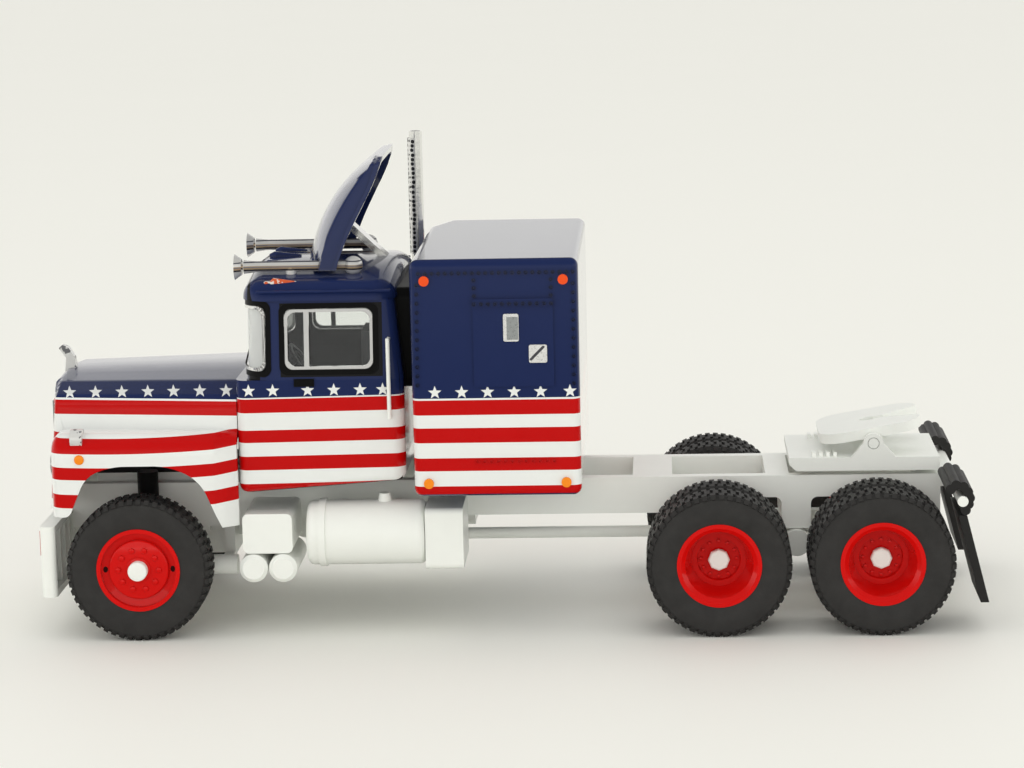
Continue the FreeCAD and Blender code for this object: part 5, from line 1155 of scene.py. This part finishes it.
class TRACTOR_OT_small_trim(Operator):
    """Adds the wipers, fender markers and bumper reflectors"""
    bl_idname = "tractor.small_trim"
    bl_label = "Small trim"

    def execute(self, context):
        amber = nodes["sleeper_lamps"].data.materials[0]
        fender = -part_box("hood")[1].y / MM
        lamps = disc("fender_markers", (MARKER_STATION, fender - MARKER_OUT, MARKER_HEIGHT), MARKER_RADIUS,
                     MARKER_THICKNESS, MARKER_SOFT, sides=24)
        ride(lamps, "truck", "lamp_orange", amber)
        self.reflectors()
        self.wipers()
        return {"FINISHED"}

    def reflectors(self):
        """Red reflectors on the bumper's front, near its ends."""
        low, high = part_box("bumper")
        front, end = low.x / MM, low.y / MM
        near = bar("reflector", (front - REFLECTOR_OUT, end + REFLECTOR_START, REFLECTOR_LOW),
                   (front + REFLECTOR_IN, end + REFLECTOR_END, REFLECTOR_HIGH), SMALL_SOFT)
        red = finish("red reflector", settings().livery.red, 0.2, coat=0.5)
        ride(both_sides("bumper_reflectors", near), "truck", "wheel_red", red)

    def wipers(self):
        """Two arms that rise from the cowl across the windscreen's foot."""
        arms = []
        black = nodes["window_gaskets"].data.materials[0]
        for number, y in enumerate(WIPER_MIDDLES):
            arm = bar(f"wiper_{number}", (WIPER_FRONT, y - WIPER_HALF_LENGTH, WIPER_LOW),
                      (WIPER_BACK, y + WIPER_HALF_LENGTH, WIPER_HIGH), SMALL_SOFT)
            choose(arm, "VERT", lambda spot: spot.y > y * MM)
            bpy.ops.transform.translate(value=(WIPER_LEAN * MM, 0, WIPER_RISE * MM))
            bpy.ops.object.mode_set(mode="OBJECT")
            arms.append(arm)
        ride(settle(joined("wipers", arms)), "truck", "flap_black", black)


# Stage

FLOOR_SIZE = 4.0
MIRROR_REACH = (140.0, 420.0)    # where the floor's dark reflection fades out, in millimetres from the truck
BACKDROP = 0.92                  # lightness of the backdrop behind the truck
BACKDROP_TINT = (0.97, 0.96, 0.93, 1.0)
# The camera's turn, tilt and roll in degrees, the point it looks at and its distance, in millimetres
CAMERA_TURN, CAMERA_TILT, CAMERA_ROLL = 2.805, 9.869, -1.266
CAMERA_TARGET = (-0.452, 0, 19.356)
CAMERA_DISTANCE = 269.96
# Each soft lamp: its name, place and size in metres, and its share of the key light; all aim at the truck
LAMPS = (("front", (-0.1, -0.55, 0.16), 0.45, 1.0), ("top", (-0.05, -0.05, 0.5), 0.4, 0.5))
LAMP_TARGET = (0, 0, 0.015)


class TRACTOR_OT_stage(Operator):
    """Sets up the pale floor, the soft lights and the camera"""
    bl_idname = "tractor.stage"
    bl_label = "Stage"

    def execute(self, context):
        self.floor()
        self.world(context.scene)
        self.lamps()
        self.camera(context.scene)
        context.scene.view_settings.view_transform = "Standard"
        return {"FINISHED"}

    def floor(self):
        fresh()
        bpy.ops.mesh.primitive_plane_add(size=FLOOR_SIZE)
        floor = named("floor")
        material, tree, shader = material_tree("pale floor")
        place = tree.place()
        stage = settings().stage
        worn = tree.group(effect("wear"), Place=place, Color=opaque(stage.floor), Roughness=0.5, Amount=0.01,
                          Scale=0.02)
        distance = tree.add("ShaderNodeVectorMath", {0: place}, operation="LENGTH").outputs["Value"]
        near = tree.mapped(distance, MIRROR_REACH, (1.0, 0.0))
        path = tree.add("ShaderNodeLightPath").outputs
        glossy = tree.math("SUBTRACT", path["Is Glossy Ray"], path["Is Transmission Ray"], clamp=True)
        ahead = tree.math("LESS_THAN", tree.axes(place)["Y"], 0.0)
        mirrored = tree.math("MULTIPLY", tree.math("MULTIPLY", glossy, near), ahead)
        tree.feed(shader.inputs["Base Color"], tree.mix(mirrored, worn["Color"], opaque(stage.mirrored)))
        shader.inputs["Roughness"].default_value = 0.6
        shader.inputs["Specular IOR Level"].default_value = 0.2
        floor.data.materials.append(material)

    def world(self, scene):
        world = bpy.data.worlds.new("soft studio")
        world.use_nodes = True
        scene.world = world
        tree = Tree(world.node_tree)
        background = shader_of(world.node_tree, "BACKGROUND")
        path = tree.add("ShaderNodeLightPath").outputs
        seen = tree.math("MAXIMUM", path["Is Camera Ray"], path["Is Transmission Ray"])
        axes = tree.axes(tree.add("ShaderNodeTexCoord").outputs["Generated"])
        # Glossy pieces see a pale backdrop low down, greyer in front of the truck, and a dark room overhead
        ring = tree.mapped(axes["Z"], (0.05, 0.65), (0.95, 0.12), interpolation_type="SMOOTHSTEP")
        behind = tree.mapped(axes["Y"], (-0.9, 0.1), (0.55, 1.0))
        ring = tree.math("MULTIPLY", ring, behind)
        # The light itself is strongest near the horizon
        low = tree.mapped(axes["Z"], (0.0, 0.4), (1.8, 0.95))
        lit = tree.math("MULTIPLY", low, settings().stage.fill)
        plain = tree.math("ADD", lit, tree.math("MULTIPLY", seen, tree.math("SUBTRACT", BACKDROP, lit)))
        mirrored = tree.math("SUBTRACT", path["Is Glossy Ray"], path["Is Transmission Ray"], clamp=True)
        glossy = tree.math("MULTIPLY", mirrored, tree.math("SUBTRACT", ring, plain))
        background.inputs["Color"].default_value = BACKDROP_TINT
        tree.feed(background.inputs["Strength"], tree.math("ADD", plain, glossy))

    def lamps(self):
        for name, place, size, share in LAMPS:
            data = bpy.data.lights.new(name, "AREA")
            data.size = size
            data.energy = settings().stage.key * share
            lamp = bpy.data.objects.new(name, data)
            lamp.visible_glossy = False
            lamp.matrix_world = aimed(Vector(place), Vector(LAMP_TARGET))
            bpy.context.scene.collection.objects.link(lamp)

    def camera(self, scene):
        data = bpy.data.cameras.new("camera")
        data.lens = settings().stage.lens
        data.sensor_width = 36
        data.clip_start = 0.01
        data.clip_end = 10
        camera = bpy.data.objects.new("camera", data)
        turn, tilt, roll = (math.radians(angle) for angle in (CAMERA_TURN, CAMERA_TILT, CAMERA_ROLL))
        back = Vector((math.sin(turn) * math.cos(tilt), -math.cos(turn) * math.cos(tilt), math.sin(tilt)))
        right = Vector((math.cos(turn), math.sin(turn), 0))
        up = back.cross(right)
        rolled = right * math.cos(roll) + up * math.sin(roll)
        upward = up * math.cos(roll) - right * math.sin(roll)
        matrix = Matrix((rolled, upward, back)).transposed().to_4x4()
        matrix.translation = (Vector(CAMERA_TARGET) + back * CAMERA_DISTANCE) * MM
        camera.matrix_world = matrix
        scene.collection.objects.link(camera)
        scene.camera = camera


def aimed(place, target):
    matrix = (target - place).to_track_quat("-Z", "Y").to_matrix().to_4x4()
    matrix.translation = place
    return matrix


# Registration

class TractorSettings(PropertyGroup):
    livery: PointerProperty(type=LiveryColours, name="Livery", description="Colours of paint and plating")
    tyre: PointerProperty(type=TyreSizes, name="Tyres", description="Sizes of the tread")
    rivet: PointerProperty(type=RivetSizes, name="Rivets", description="Sizes of the rivets")
    stage: PointerProperty(type=StageSettings, name="Stage", description="Floor, lights and camera")


OPERATORS = (TRACTOR_OT_livery, TRACTOR_OT_chassis, TRACTOR_OT_trim, TRACTOR_OT_tyres, TRACTOR_OT_wheels,
             TRACTOR_OT_rivets, TRACTOR_OT_small_trim, TRACTOR_OT_stage)


class TRACTOR_PT_panel(Panel):
    """Lists the steps that dress the truck"""
    bl_idname = "TRACTOR_PT_panel"
    bl_label = "Toy tractor unit"
    bl_space_type = "VIEW_3D"
    bl_region_type = "UI"
    bl_category = "Tractor"

    def draw(self, context):
        for operator in OPERATORS:
            self.layout.operator(operator.bl_idname)


CLASSES = (LiveryColours, TyreSizes, RivetSizes, StageSettings, TractorSettings, *OPERATORS, TRACTOR_PT_panel)


def register():
    for item in CLASSES:
        bpy.utils.register_class(item)
    bpy.types.Scene.tractor = PointerProperty(type=TractorSettings)


def unregister():
    del bpy.types.Scene.tractor
    for item in reversed(CLASSES):
        bpy.utils.unregister_class(item)


def main():
    register()
    for operator in OPERATORS:
        group, name = operator.bl_idname.split(".")
        getattr(getattr(bpy.ops, group), name)()


if __name__ == "__main__":
    main()
